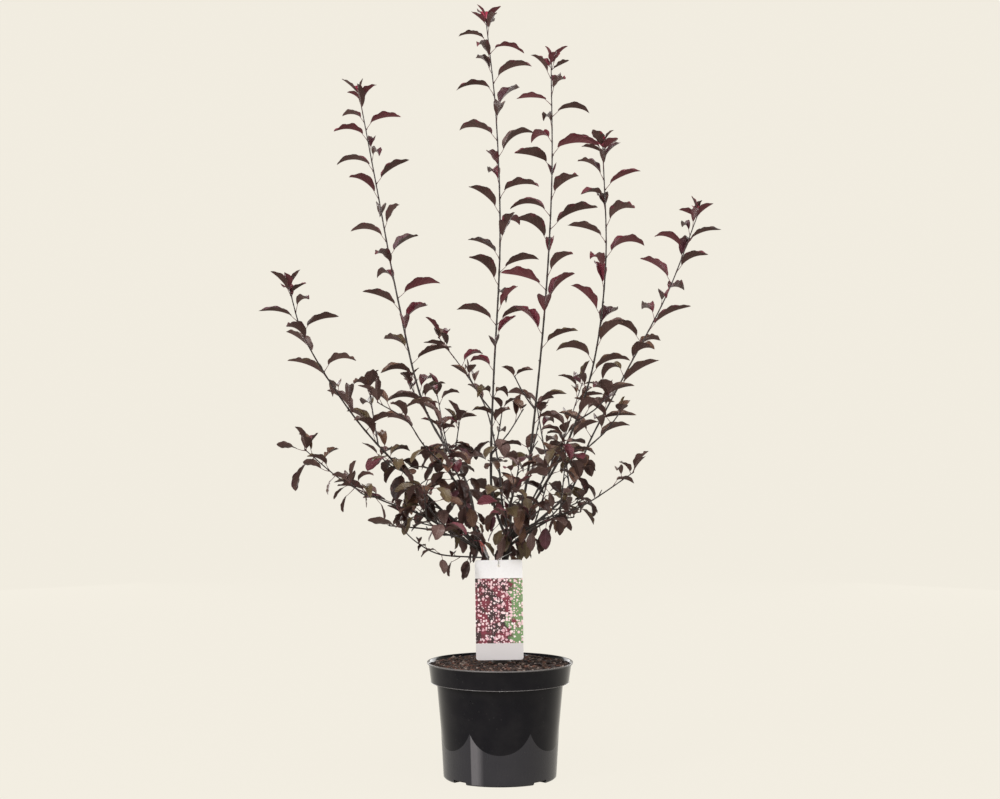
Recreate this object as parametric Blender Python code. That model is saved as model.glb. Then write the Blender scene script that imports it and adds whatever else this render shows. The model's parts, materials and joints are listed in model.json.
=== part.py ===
"""A purple-leaf sand cherry in a nursery pot: pot, soil, trunk, boughs, leafy shoots and a label.

Metres, +Z up. The front faces -Y, and the origin is the centre of the pot's flat underside.
Every shoot is one curve from its fork on the trunk to its growing tip. Its first stretch is a stub
of the trunk, the next is a bare bough, and the rest is the stem of a mass of leaves.
"""

import math
import random
from collections import namedtuple

import bpy
from mathutils import Matrix, Quaternion, Vector
from mathutils.bvhtree import BVHTree

# Pot: a cone over a nearly upright foot with six soft corners, under a deep rim band
RIM_RADIUS = 0.115
POT_HEIGHT = 0.1815
LIP_HEIGHT = 0.003
LIP_EDGE = 0.0005
BAND_BASE = 0.150
BAND_TOP_RADIUS = 0.1126
BAND_BASE_RADIUS = 0.1087
WALL_TOP_RADIUS = 0.0997
WALL_SLOPE = 0.0914
FOOT_RADIUS = 0.0885
FOOT_SLOPE = 0.040
FOOT_CORNERS = 6
FOOT_CORNER_BULGE = 0.0016
FOOT_PEAK = 0.078
FOOT_VALLEY = 0.047
WALL = 0.002
FLOOR = 0.003
BOTTOM_EDGE = 0.0015
POT_COLUMNS = 36

# Drain slots cut through the pot's bottom edge
SLOT_COUNT = 4
SLOT_WIDTH = 0.027
SLOT_HEIGHT = 0.005
SLOT_DEPTH = 0.014

# Soil
SOIL_TOP = 0.1785
SOIL_EDGE_DROP = 0.002
SOIL_FLAT_RADIUS = 0.022
SOIL_SHOULDER_RADIUS = 0.075

# Trunk: one stem with a root flare, which forks behind the label into two short arms
TRUNK_ROOT = Vector((0.002, 0.003, SOIL_TOP))
FORK = Vector((0.000, 0.000, 0.306))
TRUNK_BOW = Vector((0.003, 0.001, 0.0))
TRUNK_RADIUS = 0.0105
TRUNK_TAPER = 0.008
FLARE_RADIUS = 0.0160
FLARE_HEIGHT = 0.030
ARMS = {
    "left": (Vector((-0.036, -0.003, 0.366)), 0.0036),
    "right": (Vector((0.016, -0.003, 0.378)), 0.0054),
}
ARM_ROOT_SCALE = 1.25
ARM_TIP_SCALE = 0.85
STUB_LENGTH = 0.022
GAP = 0.0003

# Shoots
TIP_RADIUS = 0.0009
SHOOT_TAPER = 0.65
TRUNK_SIDES = 12
ARM_SIDES = 9
BOUGH_SIDES = 5
TWIG_SIDES = 3
BOUGH_STEP = 0.030
STEM_STEP = 0.055

Shoot = namedtuple("Shoot", "name arm share radius bare twigs leaf_size points")

SHOOTS = (
    Shoot("low_left", "left", 0.80, 0.0019, 0.085, 2, 0.95, (
        (-0.114, -0.075, 0.413), (-0.178, -0.105, 0.440), (-0.238, -0.120, 0.471), (-0.294, -0.130, 0.518))),
    Shoot("left", "left", 0.95, 0.0024, 0.120, 2, 1.12, (
        (-0.136, -0.020, 0.466), (-0.222, -0.050, 0.562), (-0.295, -0.090, 0.680), (-0.321, -0.110, 0.764))),
    Shoot("tall_left", "left", 1.0, 0.0025, 0.120, 2, 1.05, (
        (-0.053, 0.030, 0.460), (-0.123, 0.070, 0.585), (-0.166, 0.100, 0.756), (-0.203, 0.120, 0.947),
        (-0.230, 0.120, 1.090))),
    Shoot("tallest", "right", 0.85, 0.0024, 0.110, 2, 1.05, (
        (-0.011, 0.010, 0.435), (-0.014, 0.020, 0.514), (-0.010, 0.030, 0.631), (0.000, 0.040, 0.845),
        (-0.006, 0.030, 1.040), (-0.022, 0.020, 1.194))),
    Shoot("tall_right", "right", 1.0, 0.0024, 0.110, 2, 1.05, (
        (0.036, -0.045, 0.438), (0.049, -0.065, 0.531), (0.069, -0.090, 0.739), (0.079, -0.100, 0.929),
        (0.078, -0.100, 1.106))),
    Shoot("right", "right", 0.90, 0.0023, 0.110, 2, 1.05, (
        (0.065, -0.030, 0.453), (0.106, -0.090, 0.535), (0.142, -0.130, 0.652), (0.158, -0.160, 0.802),
        (0.153, -0.170, 0.970))),
    Shoot("far_right", "right", 0.76, 0.0023, 0.110, 2, 1.12, (
        (0.060, 0.020, 0.401), (0.115, 0.050, 0.452), (0.144, 0.080, 0.524), (0.205, 0.120, 0.636),
        (0.276, 0.150, 0.768), (0.329, 0.165, 0.902))),
    Shoot("back_middle", "right", 0.9, 0.0020, 0.090, 1, 0.95, (
        (0.003, 0.050, 0.433), (-0.002, 0.080, 0.486), (-0.021, 0.120, 0.574), (-0.054, 0.145, 0.633),
        (-0.101, 0.165, 0.696))),
    Shoot("front_left", "left", 0.85, 0.0020, 0.090, 1, 1.0, (
        (-0.066, -0.060, 0.462), (-0.116, -0.110, 0.525), (-0.141, -0.140, 0.563), (-0.183, -0.165, 0.590))),
    Shoot("trailing_left", "left", 0.65, 0.0014, 0.060, 0, 0.55, (
        (-0.044, -0.040, 0.349), (-0.094, -0.070, 0.356), (-0.128, -0.090, 0.376), (-0.152, -0.100, 0.400))),
    Shoot("low_right", "right", 0.78, 0.0019, 0.070, 1, 0.9, (
        (0.071, -0.060, 0.405), (0.133, -0.100, 0.436), (0.201, -0.120, 0.483))),
    Shoot("back_left", "left", 0.7, 0.0019, 0.080, 1, 1.0, (
        (-0.055, 0.075, 0.440), (-0.085, 0.140, 0.510), (-0.105, 0.195, 0.600))),
    Shoot("back_right", "right", 0.86, 0.0019, 0.080, 1, 1.0, (
        (0.060, 0.075, 0.447), (0.103, 0.145, 0.525), (0.138, 0.210, 0.620))),
    Shoot("front_middle", "right", 0.84, 0.0018, 0.070, 1, 1.0, (
        (0.017, -0.070, 0.413), (0.014, -0.125, 0.433), (0.022, -0.172, 0.462))),
)

# Inner shoots: short twigs that stand round the fork in a ring and fill the crown's foot
INNER_COUNT = 9
INNER_RADIUS = 0.0017
INNER_REACH = (0.100, 0.150)
INNER_RISE = (0.030, 0.095)
INNER_LEAF_SIZE = 0.96
INNER_SHARES = (0.78, 1.0)
INNER_TRIES = 40

# Side twigs, on the lower part of each shoot's leafy stem
SIDE_TWIG_LENGTH = (0.050, 0.095)
SIDE_TWIG_RADIUS = 0.0012
SIDE_TWIG_ZONE = 0.150
SIDE_TWIG_LEAN = math.radians(48)

# Leaves
BLADE_LENGTH = 0.064
BLADE_HALF_WIDTH = 0.0175
BLADE_WIDEST = 0.48
BLADE_THICKNESS = 0.0013
PETIOLE_LENGTH = 0.015
PETIOLE_RADIUS = 0.0009
ROOT_DEPTH = 0.0012
LEAF_TURN = math.radians(137.5)
LEAF_SPACING = 0.0230
FIRST_LEAF = 0.014
TIP_BUD = 0.004
TIP_SPACING = 0.45
TIP_SIZE = 0.36
TIP_REACH = 0.17
TIP_SHARE = 0.35
OLD_REACH = 0.50
TURN_TRIES = (0, 40, -40, 80, -80, 120)

# How a leaf is held, in degrees: in full growth, what a growing tip adds, what old age adds, the spread
STALK_RISE = (52, 22, -34, 9)
BLADE_START = (38, 36, -34, 13)
BLADE_BEND = (-55, 28, -18, 12)
BLADE_FOLD = (50, 12, -26, 7)
BLADE_ROLL = (0, 0, 0, 24)
LEAF_FORWARD = 0.6

# Clearances and the crown's floor
CLEARANCE = 0.0008
SPACE_BELOW = 0.262
SEED = 41

# Label: a card on a thin tie, which is looped round the trunk's right arm
CARD_WIDTH = 0.074
CARD_HEIGHT = 0.156
CARD_THICKNESS = 0.001
CARD_CORNER = 0.004
CARD_TOP = Vector((-0.0023, -0.030, 0.3436))
CARD_TILT = math.radians(-0.8)
HOLE_RADIUS = 0.0026
HOLE_DROP = 0.0092
TIE_RADIUS = 0.0006
TIE_HEIGHT = 0.353

Leaf = namedtuple("Leaf", "base heading petiole rise length half_width fold start end roll")
Twig = namedtuple("Twig", "path radii leaf_size")
Limb = namedtuple("Limb", "path radii sides ends")


def make_material(name, colour, roughness):
    """A plain surface of one colour."""
    material = bpy.data.materials.new(name)
    material.use_nodes = True
    shader = material.node_tree.nodes["Principled BSDF"]
    shader.inputs["Base Color"].default_value = (*colour, 1.0)
    shader.inputs["Roughness"].default_value = roughness
    shader.inputs["Metallic"].default_value = 0.0
    return material


def make_object(name, shape, material=None):
    """An object from a shape, which is a list of points and a list of faces."""
    points, faces = shape
    mesh = bpy.data.meshes.new(name)
    mesh.from_pydata([tuple(point) for point in points], [], faces)
    thing = bpy.data.objects.new(name, mesh)
    bpy.context.scene.collection.objects.link(thing)
    if material:
        mesh.materials.append(material)
    return thing


def loft(rings):
    """A closed skin over rings of the same number of points, with a flat cap at each end."""
    sides = len(rings[0])
    points = [point for ring in rings for point in ring]
    faces = [tuple(reversed(range(sides)))]
    for row in range(len(rings) - 1):
        low = row * sides
        for side in range(sides):
            after = (side + 1) % sides
            faces.append((low + side, low + after, low + sides + after, low + sides + side))
    last = (len(rings) - 1) * sides
    faces.append(tuple(range(last, last + sides)))
    return points, faces


def circle(radius, height, columns):
    """A level ring of points. The radius may be a function of the angle from the front."""
    ring = []
    for column in range(columns):
        angle = column * math.tau / columns
        reach = radius(angle) if callable(radius) else radius
        ring.append(Vector((reach * math.sin(angle), -reach * math.cos(angle), height)))
    return ring


def smooth_path(points, step):
    """Points about one step apart along a smooth curve through the given points."""
    points = [Vector(point) for point in points]
    ends = [2 * points[0] - points[1]] + points + [2 * points[-1] - points[-2]]
    path = [points[0]]
    for index in range(1, len(ends) - 2):
        before, start, end, after = ends[index - 1:index + 3]
        count = max(1, round((end - start).length / step))
        for number in range(1, count + 1):
            t = number / count
            bend = (2 * start + (end - before) * t + (2 * before - 5 * start + 4 * end - after) * t ** 2
                    + (3 * start - before - 3 * end + after) * t ** 3)
            path.append(bend / 2)
    return path


def path_lengths(path):
    """How far along the path each of its points lies."""
    lengths = [0.0]
    for start, end in zip(path, path[1:]):
        lengths.append(lengths[-1] + (end - start).length)
    return lengths


def along(path, distance):
    """The point and the direction at a distance along the path."""
    for start, end in zip(path, path[1:]):
        length = (end - start).length
        if distance <= length:
            return start.lerp(end, distance / length), (end - start).normalized()
        distance -= length
    return path[-1], (path[-1] - path[-2]).normalized()


def stretch(path, start, end):
    """The part of a path between two distances along it."""
    lengths = path_lengths(path)
    inner = [point for point, length in zip(path, lengths) if start + 0.002 < length < end - 0.002]
    return [along(path, start)[0]] + inner + [along(path, end)[0]]


def tube(path, radii, sides, ends=(None, None)):
    """A many-sided limb along a path, with a radius for each point. Its ends may face given ways."""
    normal = None
    rings = []
    for index, point in enumerate(path):
        back = path[max(index - 1, 0)]
        ahead = path[min(index + 1, len(path) - 1)]
        tangent = (ahead - back).normalized()
        if index == 0 and ends[0]:
            tangent = ends[0]
        if index == len(path) - 1 and ends[1]:
            tangent = ends[1]
        if normal is None:
            normal = tangent.orthogonal()
        normal = (normal - tangent * normal.dot(tangent)).normalized()
        across = tangent.cross(normal)
        turns = [number * math.tau / sides for number in range(sides)]
        rings.append([point + (normal * math.cos(turn) + across * math.sin(turn)) * radii[index]
                      for turn in turns])
    return loft(rings)


def shoot_radii(path, whole, start, radius):
    """The taper of a stretch of a shoot that begins a distance along the whole shoot."""
    radii = []
    for length in path_lengths(path):
        left = max(0.0, 1 - (start + length) / whole)
        radii.append(TIP_RADIUS + (radius - TIP_RADIUS) * left ** SHOOT_TAPER)
    return radii


def arm_place(arm, share):
    """The middle and the radius of an arm of the trunk, at a share of its length."""
    end, radius = ARMS[arm]
    scale = ARM_ROOT_SCALE + (ARM_TIP_SCALE - ARM_ROOT_SCALE) * share
    return FORK.lerp(end, share), radius * scale


def shoot_path(shoot):
    """The curve of a whole shoot."""
    return smooth_path((arm_place(shoot.arm, shoot.share)[0],) + shoot.points, BOUGH_STEP)


def thin_out(path, step):
    """The same path with fewer points, its ends kept."""
    kept = [path[0]]
    for point in path[1:-1]:
        if (point - kept[-1]).length >= step and (path[-1] - point).length >= step / 2:
            kept.append(point)
    return kept + [path[-1]]


def shoot_pieces(shoot):
    """A shoot's stub, bough and leafy stem. An inner shoot has no bough."""
    path = shoot_path(shoot)
    whole = path_lengths(path)[-1]
    cuts = [(0.0, STUB_LENGTH), (STUB_LENGTH + GAP, shoot.bare), (shoot.bare + GAP, whole)]
    if not shoot.bare:
        cuts = [(0.0, STUB_LENGTH), None, (STUB_LENGTH + GAP, whole)]
    pieces = []
    for cut, step, sides in zip(cuts, (0, 0, STEM_STEP), (BOUGH_SIDES, BOUGH_SIDES, TWIG_SIDES)):
        if cut is None:
            pieces.append(None)
            continue
        part = thin_out(stretch(path, *cut), step)
        ends = tuple(along(path, distance)[1] for distance in cut)
        pieces.append(Limb(part, shoot_radii(part, whole, cut[0], shoot.radius), sides, ends))
    return pieces


def inner_shoot(number, rng):
    """One short inner shoot, at its turn in the ring round the fork."""
    bearing = (number + rng.uniform(-0.35, 0.35)) * math.tau / INNER_COUNT
    reach = rng.uniform(*INNER_REACH)
    rise = rng.uniform(*INNER_RISE)
    out = Vector((math.cos(bearing), math.sin(bearing), 0))
    arm = "left" if out.x < 0 else "right"
    share = rng.uniform(*INNER_SHARES)
    start = arm_place(arm, share)[0]
    middle = start + out * reach * 0.5 + Vector((0, 0, rise * 0.75))
    end = start + out * reach + Vector((0, 0, rise))
    return Shoot(f"inner_{number + 1}", arm, share, INNER_RADIUS, 0.0, 1, INNER_LEAF_SIZE,
                 (tuple(middle), tuple(end)))


def trunk_shapes(shoots):
    """The trunk's main stem, its two arms and a stub for each shoot."""
    foot = TRUNK_ROOT + Vector((0, 0, GAP))
    middle = foot.lerp(FORK, 0.5) + TRUNK_BOW
    curve = smooth_path((foot, middle, FORK), FLARE_HEIGHT / 8)
    whole = path_lengths(curve)[-1]
    path = []
    radii = []
    for distance in (0.0, FLARE_HEIGHT * 0.2, FLARE_HEIGHT * 0.5, FLARE_HEIGHT, whole * 0.5, whole):
        flare = max(0.0, 1 - distance / FLARE_HEIGHT) ** 2
        path.append(along(curve, distance)[0])
        radii.append(TRUNK_RADIUS - TRUNK_TAPER * distance + (FLARE_RADIUS - TRUNK_RADIUS) * flare)
    path.append(FORK + Vector((0, 0, TRUNK_RADIUS * 0.6)))
    radii.append(TRUNK_RADIUS * 0.5)
    shapes = [tube(path, radii, TRUNK_SIDES, (Vector((0, 0, 1)), None))]
    for arm, (end, radius) in ARMS.items():
        sunk = FORK - Vector((0, 0, TRUNK_RADIUS))
        centres = [sunk] + [arm_place(arm, share)[0] for share in (0.5, 1.0)]
        sizes = [arm_place(arm, share)[1] for share in (0.0, 0.5, 1.0)]
        centres.append(end + (end - FORK).normalized() * radius * 0.5)
        sizes.append(radius * 0.4)
        shapes.append(tube(centres, sizes, ARM_SIDES))
    for shoot in shoots:
        shapes.append(tube(*shoot_pieces(shoot)[0]))
    return shapes


def midrib(leaf, steps):
    """The leaf's midrib as (point, tangent, side, normal), from the blade's base to its tip."""
    up = Vector((0, 0, 1))
    point = leaf.base + (leaf.heading * math.cos(leaf.rise) + up * math.sin(leaf.rise)) * leaf.petiole
    frames = []
    for number in range(steps + 1):
        angle = leaf.start + (leaf.end - leaf.start) * number / steps
        tangent = leaf.heading * math.cos(angle) + up * math.sin(angle)
        normal = up * math.cos(angle) - leaf.heading * math.sin(angle)
        turn = Quaternion(tangent, leaf.roll * number / steps)
        side = tangent.cross(normal)
        frames.append((point, tangent, turn @ side, turn @ normal))
        point = point + tangent * leaf.length / steps
    return frames


def leaf_shape(leaf, grow=0.0, whole=True):
    """A folded leaf of 14 triangles on its pointed stalk. Without its stalk it is the blade alone."""
    frames = midrib(leaf, 12)
    foot, foot_tangent, foot_side, foot_normal = frames[0]
    middle, middle_tangent, side, normal = frames[round(12 * BLADE_WIDEST)]
    tip = frames[-1][0] + frames[-1][1] * grow
    wide = leaf.half_width + grow
    out = side * wide * math.cos(leaf.fold)
    lift = normal * wide * math.sin(leaf.fold)
    half_thick = BLADE_THICKNESS / 2 + grow
    stalk = PETIOLE_RADIUS + grow
    corners = (-foot_side * stalk + foot_normal * stalk / 2, foot_side * stalk + foot_normal * stalk / 2,
               -foot_normal * stalk)
    root = leaf.base - foot_tangent * ROOT_DEPTH if whole else leaf.base.lerp(foot, 0.9)
    points = [root] + [foot + corner for corner in corners]
    points += [middle - out + lift, middle + out + lift, middle + normal * half_thick,
               middle - normal * half_thick, tip]
    left, right, top, under, end = 4, 5, 6, 7, 8
    faces = [(0, 2, 1), (0, 3, 2), (0, 1, 3), (1, 2, top), (1, top, left), (2, right, top),
             (left, top, end), (top, right, end), (1, left, under), (left, end, under),
             (end, right, under), (right, 2, under), (2, 3, under), (3, 1, under)]
    return points, faces


def search_tree(shape):
    """A search tree over a shape's faces, with its middle and its reach for a quick first test."""
    points, faces = shape
    middle = sum(points, Vector()) / len(points)
    reach = max((point - middle).length for point in points)
    return BVHTree.FromPolygons(points, faces), middle, reach


def meets(tree, others):
    """Whether a shape's tree cuts any of the others."""
    for other in others:
        if (tree[1] - other[1]).length < tree[2] + other[2] and tree[0].overlap(other[0]):
            return True
    return False


def side_twigs(shoot, stem, rng, others):
    """Short twigs on the lower part of a leafy stem that touch no limb of another mass."""
    twigs = []
    zone = min(SIDE_TWIG_ZONE, path_lengths(stem)[-1] * 0.6)
    for number in range(shoot.twigs):
        place = (number + rng.uniform(0.3, 0.8)) * zone / shoot.twigs
        point, tangent = along(stem, place)
        length = rng.uniform(*SIDE_TWIG_LENGTH)
        turn = number * LEAF_TURN + rng.uniform(0, math.tau)
        for extra in TURN_TRIES:
            across = Quaternion(tangent, turn + math.radians(extra)) @ tangent.orthogonal().normalized()
            heading = tangent * math.cos(SIDE_TWIG_LEAN) + across * math.sin(SIDE_TWIG_LEAN)
            bend = point + heading * length * 0.5 + Vector((0, 0, 0.1 * length))
            end = point + heading * length * 0.9 + Vector((0, 0, 0.32 * length))
            path = smooth_path((point, bend, end), length / 3)
            radii = [SIDE_TWIG_RADIUS + (TIP_RADIUS - SIDE_TWIG_RADIUS) * step / (len(path) - 1)
                     for step in range(len(path))]
            grown = [radius + CLEARANCE * 2 for radius in radii]
            if end.z > SPACE_BELOW and not meets(search_tree(tube(path, grown, TWIG_SIDES)), others):
                twigs.append(Twig(path, radii, shoot.leaf_size))
                break
    return twigs


def leaf_places(twig, rng):
    """Where leaves want to grow on a twig, from its foot to its tip: (place, turn, size, youth)."""
    whole = path_lengths(twig.path)[-1]
    reach = min(TIP_REACH, TIP_SHARE * whole)
    turn = rng.uniform(0, math.tau)
    place = FIRST_LEAF
    wanted = []
    while place < whole - TIP_BUD:
        youth = 1 - min(1.0, (whole - place) / reach)
        full = TIP_SIZE + (1 - TIP_SIZE) * (1 - youth) ** 0.35
        wanted.append((place, turn, twig.leaf_size * full * rng.uniform(0.9, 1.1), youth))
        turn += LEAF_TURN + rng.uniform(-0.25, 0.25)
        place += LEAF_SPACING * (1 - (1 - TIP_SPACING) * youth) * rng.uniform(0.85, 1.15)
    wanted.append((whole - GAP * 2, turn, twig.leaf_size * TIP_SIZE, 1.0))
    return wanted


def crown_age(point):
    """How old the leaves are at a place: 1 at the crown's shaded foot, 0 from half a metre up."""
    return max(0.0, min(1.0, (OLD_REACH - point.z) / (OLD_REACH - FORK.z)))


def held(angles, youth, age, rng):
    """One of a leaf's angles, in radians."""
    growth, tip, old, spread = angles
    return math.radians(growth + tip * youth ** 8 + old * age + rng.uniform(-spread, spread))


def make_leaf(twig, place, turn, size, youth, rng):
    """One leaf at a place on its twig: upright near a tip, arched lower down, hanging when old."""
    point, tangent = along(twig.path, place)
    age = crown_age(point) * (1 - youth)
    across = Quaternion(tangent, turn) @ tangent.orthogonal().normalized()
    heading = across + tangent * LEAF_FORWARD
    heading.z = 0
    heading = heading.normalized() if heading.length > 0.05 else Vector((1, 0, 0))
    start = held(BLADE_START, youth, age, rng)
    return Leaf(base=point, heading=heading, petiole=PETIOLE_LENGTH * (0.45 + 0.55 * size),
                rise=held(STALK_RISE, youth, age, rng), length=BLADE_LENGTH * size,
                half_width=BLADE_HALF_WIDTH * size * (1 - 0.15 * youth + 0.12 * age),
                fold=held(BLADE_FOLD, youth, age, rng), start=start,
                end=start + held(BLADE_BEND, youth, age, rng), roll=held(BLADE_ROLL, youth, age, rng))


def grow_leaves(twigs, rng, own_limbs, others):
    """The leaves of one mass, each turned on its twig until it touches nothing, or skipped."""
    leaves = []
    own = list(own_limbs)
    for twig in twigs:
        for place, turn, size, youth in leaf_places(twig, rng):
            for extra in TURN_TRIES:
                leaf = make_leaf(twig, place, turn + math.radians(extra), size, youth, rng)
                shape = leaf_shape(leaf, CLEARANCE)
                blade = search_tree(leaf_shape(leaf, CLEARANCE, whole=False))
                inside = min(point.z for point in shape[0]) > SPACE_BELOW
                if inside and not meets(blade, own) and not meets(search_tree(shape), others):
                    leaves.append(leaf)
                    own.append(blade)
                    break
    return leaves


def fuse(name, shapes, material):
    """One object from overlapping shapes, joined by a Boolean union on a collection."""
    body = make_object(name, shapes[0], material)
    parts = bpy.data.collections.new(name + "_parts")
    bpy.context.scene.collection.children.link(parts)
    for number, shape in enumerate(shapes[1:]):
        thing = make_object(f"{name}_part_{number}", shape)
        bpy.context.scene.collection.objects.unlink(thing)
        parts.objects.link(thing)
    union = body.modifiers.new("Union", "BOOLEAN")
    union.operation = "UNION"
    union.operand_type = "COLLECTION"
    union.collection = parts
    union.solver = "MANIFOLD"
    bpy.context.view_layer.update()
    fused = bpy.data.meshes.new_from_object(body.evaluated_get(bpy.context.evaluated_depsgraph_get()))
    body.modifiers.clear()
    body.data = fused
    for thing in list(parts.objects):
        bpy.data.objects.remove(thing)
    bpy.data.collections.remove(parts)
    return body


def wall_radius(height):
    """The outer radius of the pot's cone."""
    return WALL_TOP_RADIUS - WALL_SLOPE * (BAND_BASE - height)


def foot_radius(height):
    """The outer radius of the pot's foot as a function of the angle, where it stands out of the cone."""
    half = math.pi / FOOT_CORNERS

    def radius(angle):
        off = (angle + half) % (2 * half)
        off = abs(off - half)
        ridge = (1 / math.cos(off) - 1) / (1 / math.cos(half) - 1)
        bulge = FOOT_CORNER_BULGE * (0.2 + 0.8 * min(1.0, height / FOOT_PEAK))
        return max(wall_radius(height), FOOT_RADIUS + FOOT_SLOPE * height + bulge * ridge)

    return radius


def pot_inside():
    """The pot's inner outline as (radius, height), from its rim down to its floor."""
    return [(RIM_RADIUS - WALL, POT_HEIGHT), (BAND_TOP_RADIUS - WALL, POT_HEIGHT - LIP_HEIGHT - LIP_EDGE * 2),
            (BAND_BASE_RADIUS - WALL, BAND_BASE + WALL), (WALL_TOP_RADIUS - WALL, BAND_BASE + WALL * 0.75),
            (FOOT_RADIUS - WALL, FLOOR)]


def make_pot(material):
    """The pot: a thin wall, a flat floor, a rim band with a lip, and slots through the bottom edge."""
    lip_base = POT_HEIGHT - LIP_HEIGHT
    rows = [(FOOT_RADIUS - BOTTOM_EDGE, 0.0), (foot_radius(0), BOTTOM_EDGE)]
    rows += [(foot_radius(height), height)
             for height in (FOOT_VALLEY, (FOOT_VALLEY + FOOT_PEAK) / 2, FOOT_PEAK)]
    rows += [(wall_radius(BAND_BASE), BAND_BASE), (BAND_BASE_RADIUS, BAND_BASE),
             (BAND_TOP_RADIUS, lip_base), (RIM_RADIUS, lip_base + LIP_EDGE), (RIM_RADIUS, POT_HEIGHT)]
    rings = [circle(radius, height, POT_COLUMNS) for radius, height in rows + pot_inside()]
    pot = make_object("pot", loft(rings), material)
    for number in range(SLOT_COUNT):
        turn = (number + 0.5) * math.tau / SLOT_COUNT
        cut_box(pot, f"slot_{number + 1}", turn)
    pot.data.shade_smooth()
    pot.data.set_sharp_from_angle(angle=math.radians(30))
    return pot


def cut_box(pot, name, turn):
    """A drain slot through the pot's bottom edge, at an angle round the axis."""
    near = FOOT_RADIUS - SLOT_DEPTH
    far = FOOT_RADIUS + SLOT_DEPTH
    half = SLOT_WIDTH / 2
    ring = [Vector((near, -half, 0)), Vector((far, -half, 0)), Vector((far, half, 0)), Vector((near, half, 0))]
    bottom = [point - Vector((0, 0, SLOT_HEIGHT)) for point in ring]
    top = [point + Vector((0, 0, SLOT_HEIGHT)) for point in ring]
    cutter = make_object(name, loft([bottom, top]))
    cutter.rotation_euler.z = turn
    cutter.hide_render = True
    cutter.display_type = "WIRE"
    cut = pot.modifiers.new(name, "BOOLEAN")
    cut.operation = "DIFFERENCE"
    cut.object = cutter


def make_soil(material):
    """The soil that fills the pot, flat in the middle where the trunk stands."""
    clear = GAP * 1.3
    rows = [(radius - clear, height + clear) for radius, height in reversed(pot_inside()[1:])]
    edge_height = SOIL_TOP - SOIL_EDGE_DROP
    (low_radius, low), (top_radius, top) = rows[-2:]
    rows[-1] = (low_radius + (top_radius - low_radius) * (edge_height - low) / (top - low), edge_height)
    rows += [(SOIL_SHOULDER_RADIUS, SOIL_TOP - SOIL_EDGE_DROP * 0.3), (SOIL_FLAT_RADIUS, SOIL_TOP)]
    make_object("soil", loft([circle(radius, height, POT_COLUMNS) for radius, height in rows]), material)


def rounded_outline(width, height, corner):
    """The corners of a card that hangs down from its top middle, as (across, down) pairs."""
    outline = []
    centres = ((width / 2 - corner, corner, 0), (width / 2 - corner, height - corner, 90),
               (corner - width / 2, height - corner, 180), (corner - width / 2, corner, 270))
    for across, down, first in centres:
        for step in range(4):
            angle = math.radians(first + step * 30)
            outline.append((across + corner * math.sin(angle), down - corner * math.cos(angle)))
    return outline


def make_card(material):
    """The label's card with its hole, tilted a little in its own plane."""
    outline = rounded_outline(CARD_WIDTH, CARD_HEIGHT, CARD_CORNER)
    front = [Vector((across, -CARD_THICKNESS / 2, -down)) for across, down in outline]
    back = [Vector((across, CARD_THICKNESS / 2, -down)) for across, down in outline]
    card = make_object("label_card", loft([back, front]), material)
    card.location = CARD_TOP
    card.rotation_euler.y = CARD_TILT
    ring = circle(HOLE_RADIUS, 0, 12)
    turn = Matrix.Rotation(math.radians(90), 3, "X")
    shift = Vector((0, 0, -HOLE_DROP))
    rings = [[turn @ (point + Vector((0, 0, depth))) + shift for point in ring] for depth in (-0.002, 0.002)]
    cutter = make_object("label_hole", loft(rings))
    cutter.parent = card
    cutter.hide_render = True
    cutter.display_type = "WIRE"
    cut = card.modifiers.new("Hole", "BOOLEAN")
    cut.operation = "DIFFERENCE"
    cut.object = cutter
    return card


def tie_path():
    """The tie's closed route: through the hole, over the card's top edge and round the right arm."""
    hole = CARD_TOP + Vector((HOLE_DROP * math.sin(-CARD_TILT), 0, -HOLE_DROP))
    front = -CARD_THICKNESS / 2 - TIE_RADIUS * 2
    share = (TIE_HEIGHT - FORK.z) / (ARMS["right"][0].z - FORK.z)
    arm, radius = arm_place("right", share)
    loop = radius + TIE_RADIUS + GAP * 3
    over = CARD_TOP.z + TIE_RADIUS + GAP
    points = [hole, hole + Vector((0, front, 0.0015)), Vector((CARD_TOP.x, CARD_TOP.y + front, over - 0.002)),
              Vector((CARD_TOP.x, CARD_TOP.y, over))]
    for degrees in (-20, 35, 90, 145, 200):
        angle = math.radians(degrees)
        points.append(arm + Vector((loop * math.cos(angle), loop * math.sin(angle), 0)))
    points.append(hole + Vector((-0.0005, -front + 0.002, 0.0005)))
    return points


def closed_tube(points, radius, sides, step):
    """A closed loop of round section through the given points."""
    count = len(points)
    path = []
    for index in range(count):
        before, start, end, after = (points[(index + offset) % count] for offset in (-1, 0, 1, 2))
        pieces = max(2, round((end - start).length / step))
        for number in range(pieces):
            t = number / pieces
            bend = (2 * start + (end - before) * t + (2 * before - 5 * start + 4 * end - after) * t ** 2
                    + (3 * start - before - 3 * end + after) * t ** 3)
            path.append(bend / 2)
    faces = []
    skin = []
    up = Vector((0, 0, 1))
    for index, point in enumerate(path):
        tangent = (path[(index + 1) % len(path)] - path[index - 1]).normalized()
        across = tangent.cross(up)
        across = (across if across.length > 0.2 else tangent.cross(Vector((1, 0, 0)))).normalized()
        normal = across.cross(tangent)
        for side in range(sides):
            angle = side * math.tau / sides
            skin.append(point + (across * math.cos(angle) + normal * math.sin(angle)) * radius)
    total = len(path) * sides
    for row in range(len(path)):
        for side in range(sides):
            after = (side + 1) % sides
            corner = row * sides
            faces.append(((corner + sides + side) % total, (corner + sides + after) % total,
                          (corner + after), (corner + side)))
    return skin, faces


def limb_trees(shoot):
    """Search trees over a shoot's stub, bough and stem."""
    trees = []
    for limb in shoot_pieces(shoot):
        if limb:
            grown = [radius + CLEARANCE for radius in limb.radii]
            trees.append(search_tree(tube(limb.path, grown, limb.sides, limb.ends)))
    return trees


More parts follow.
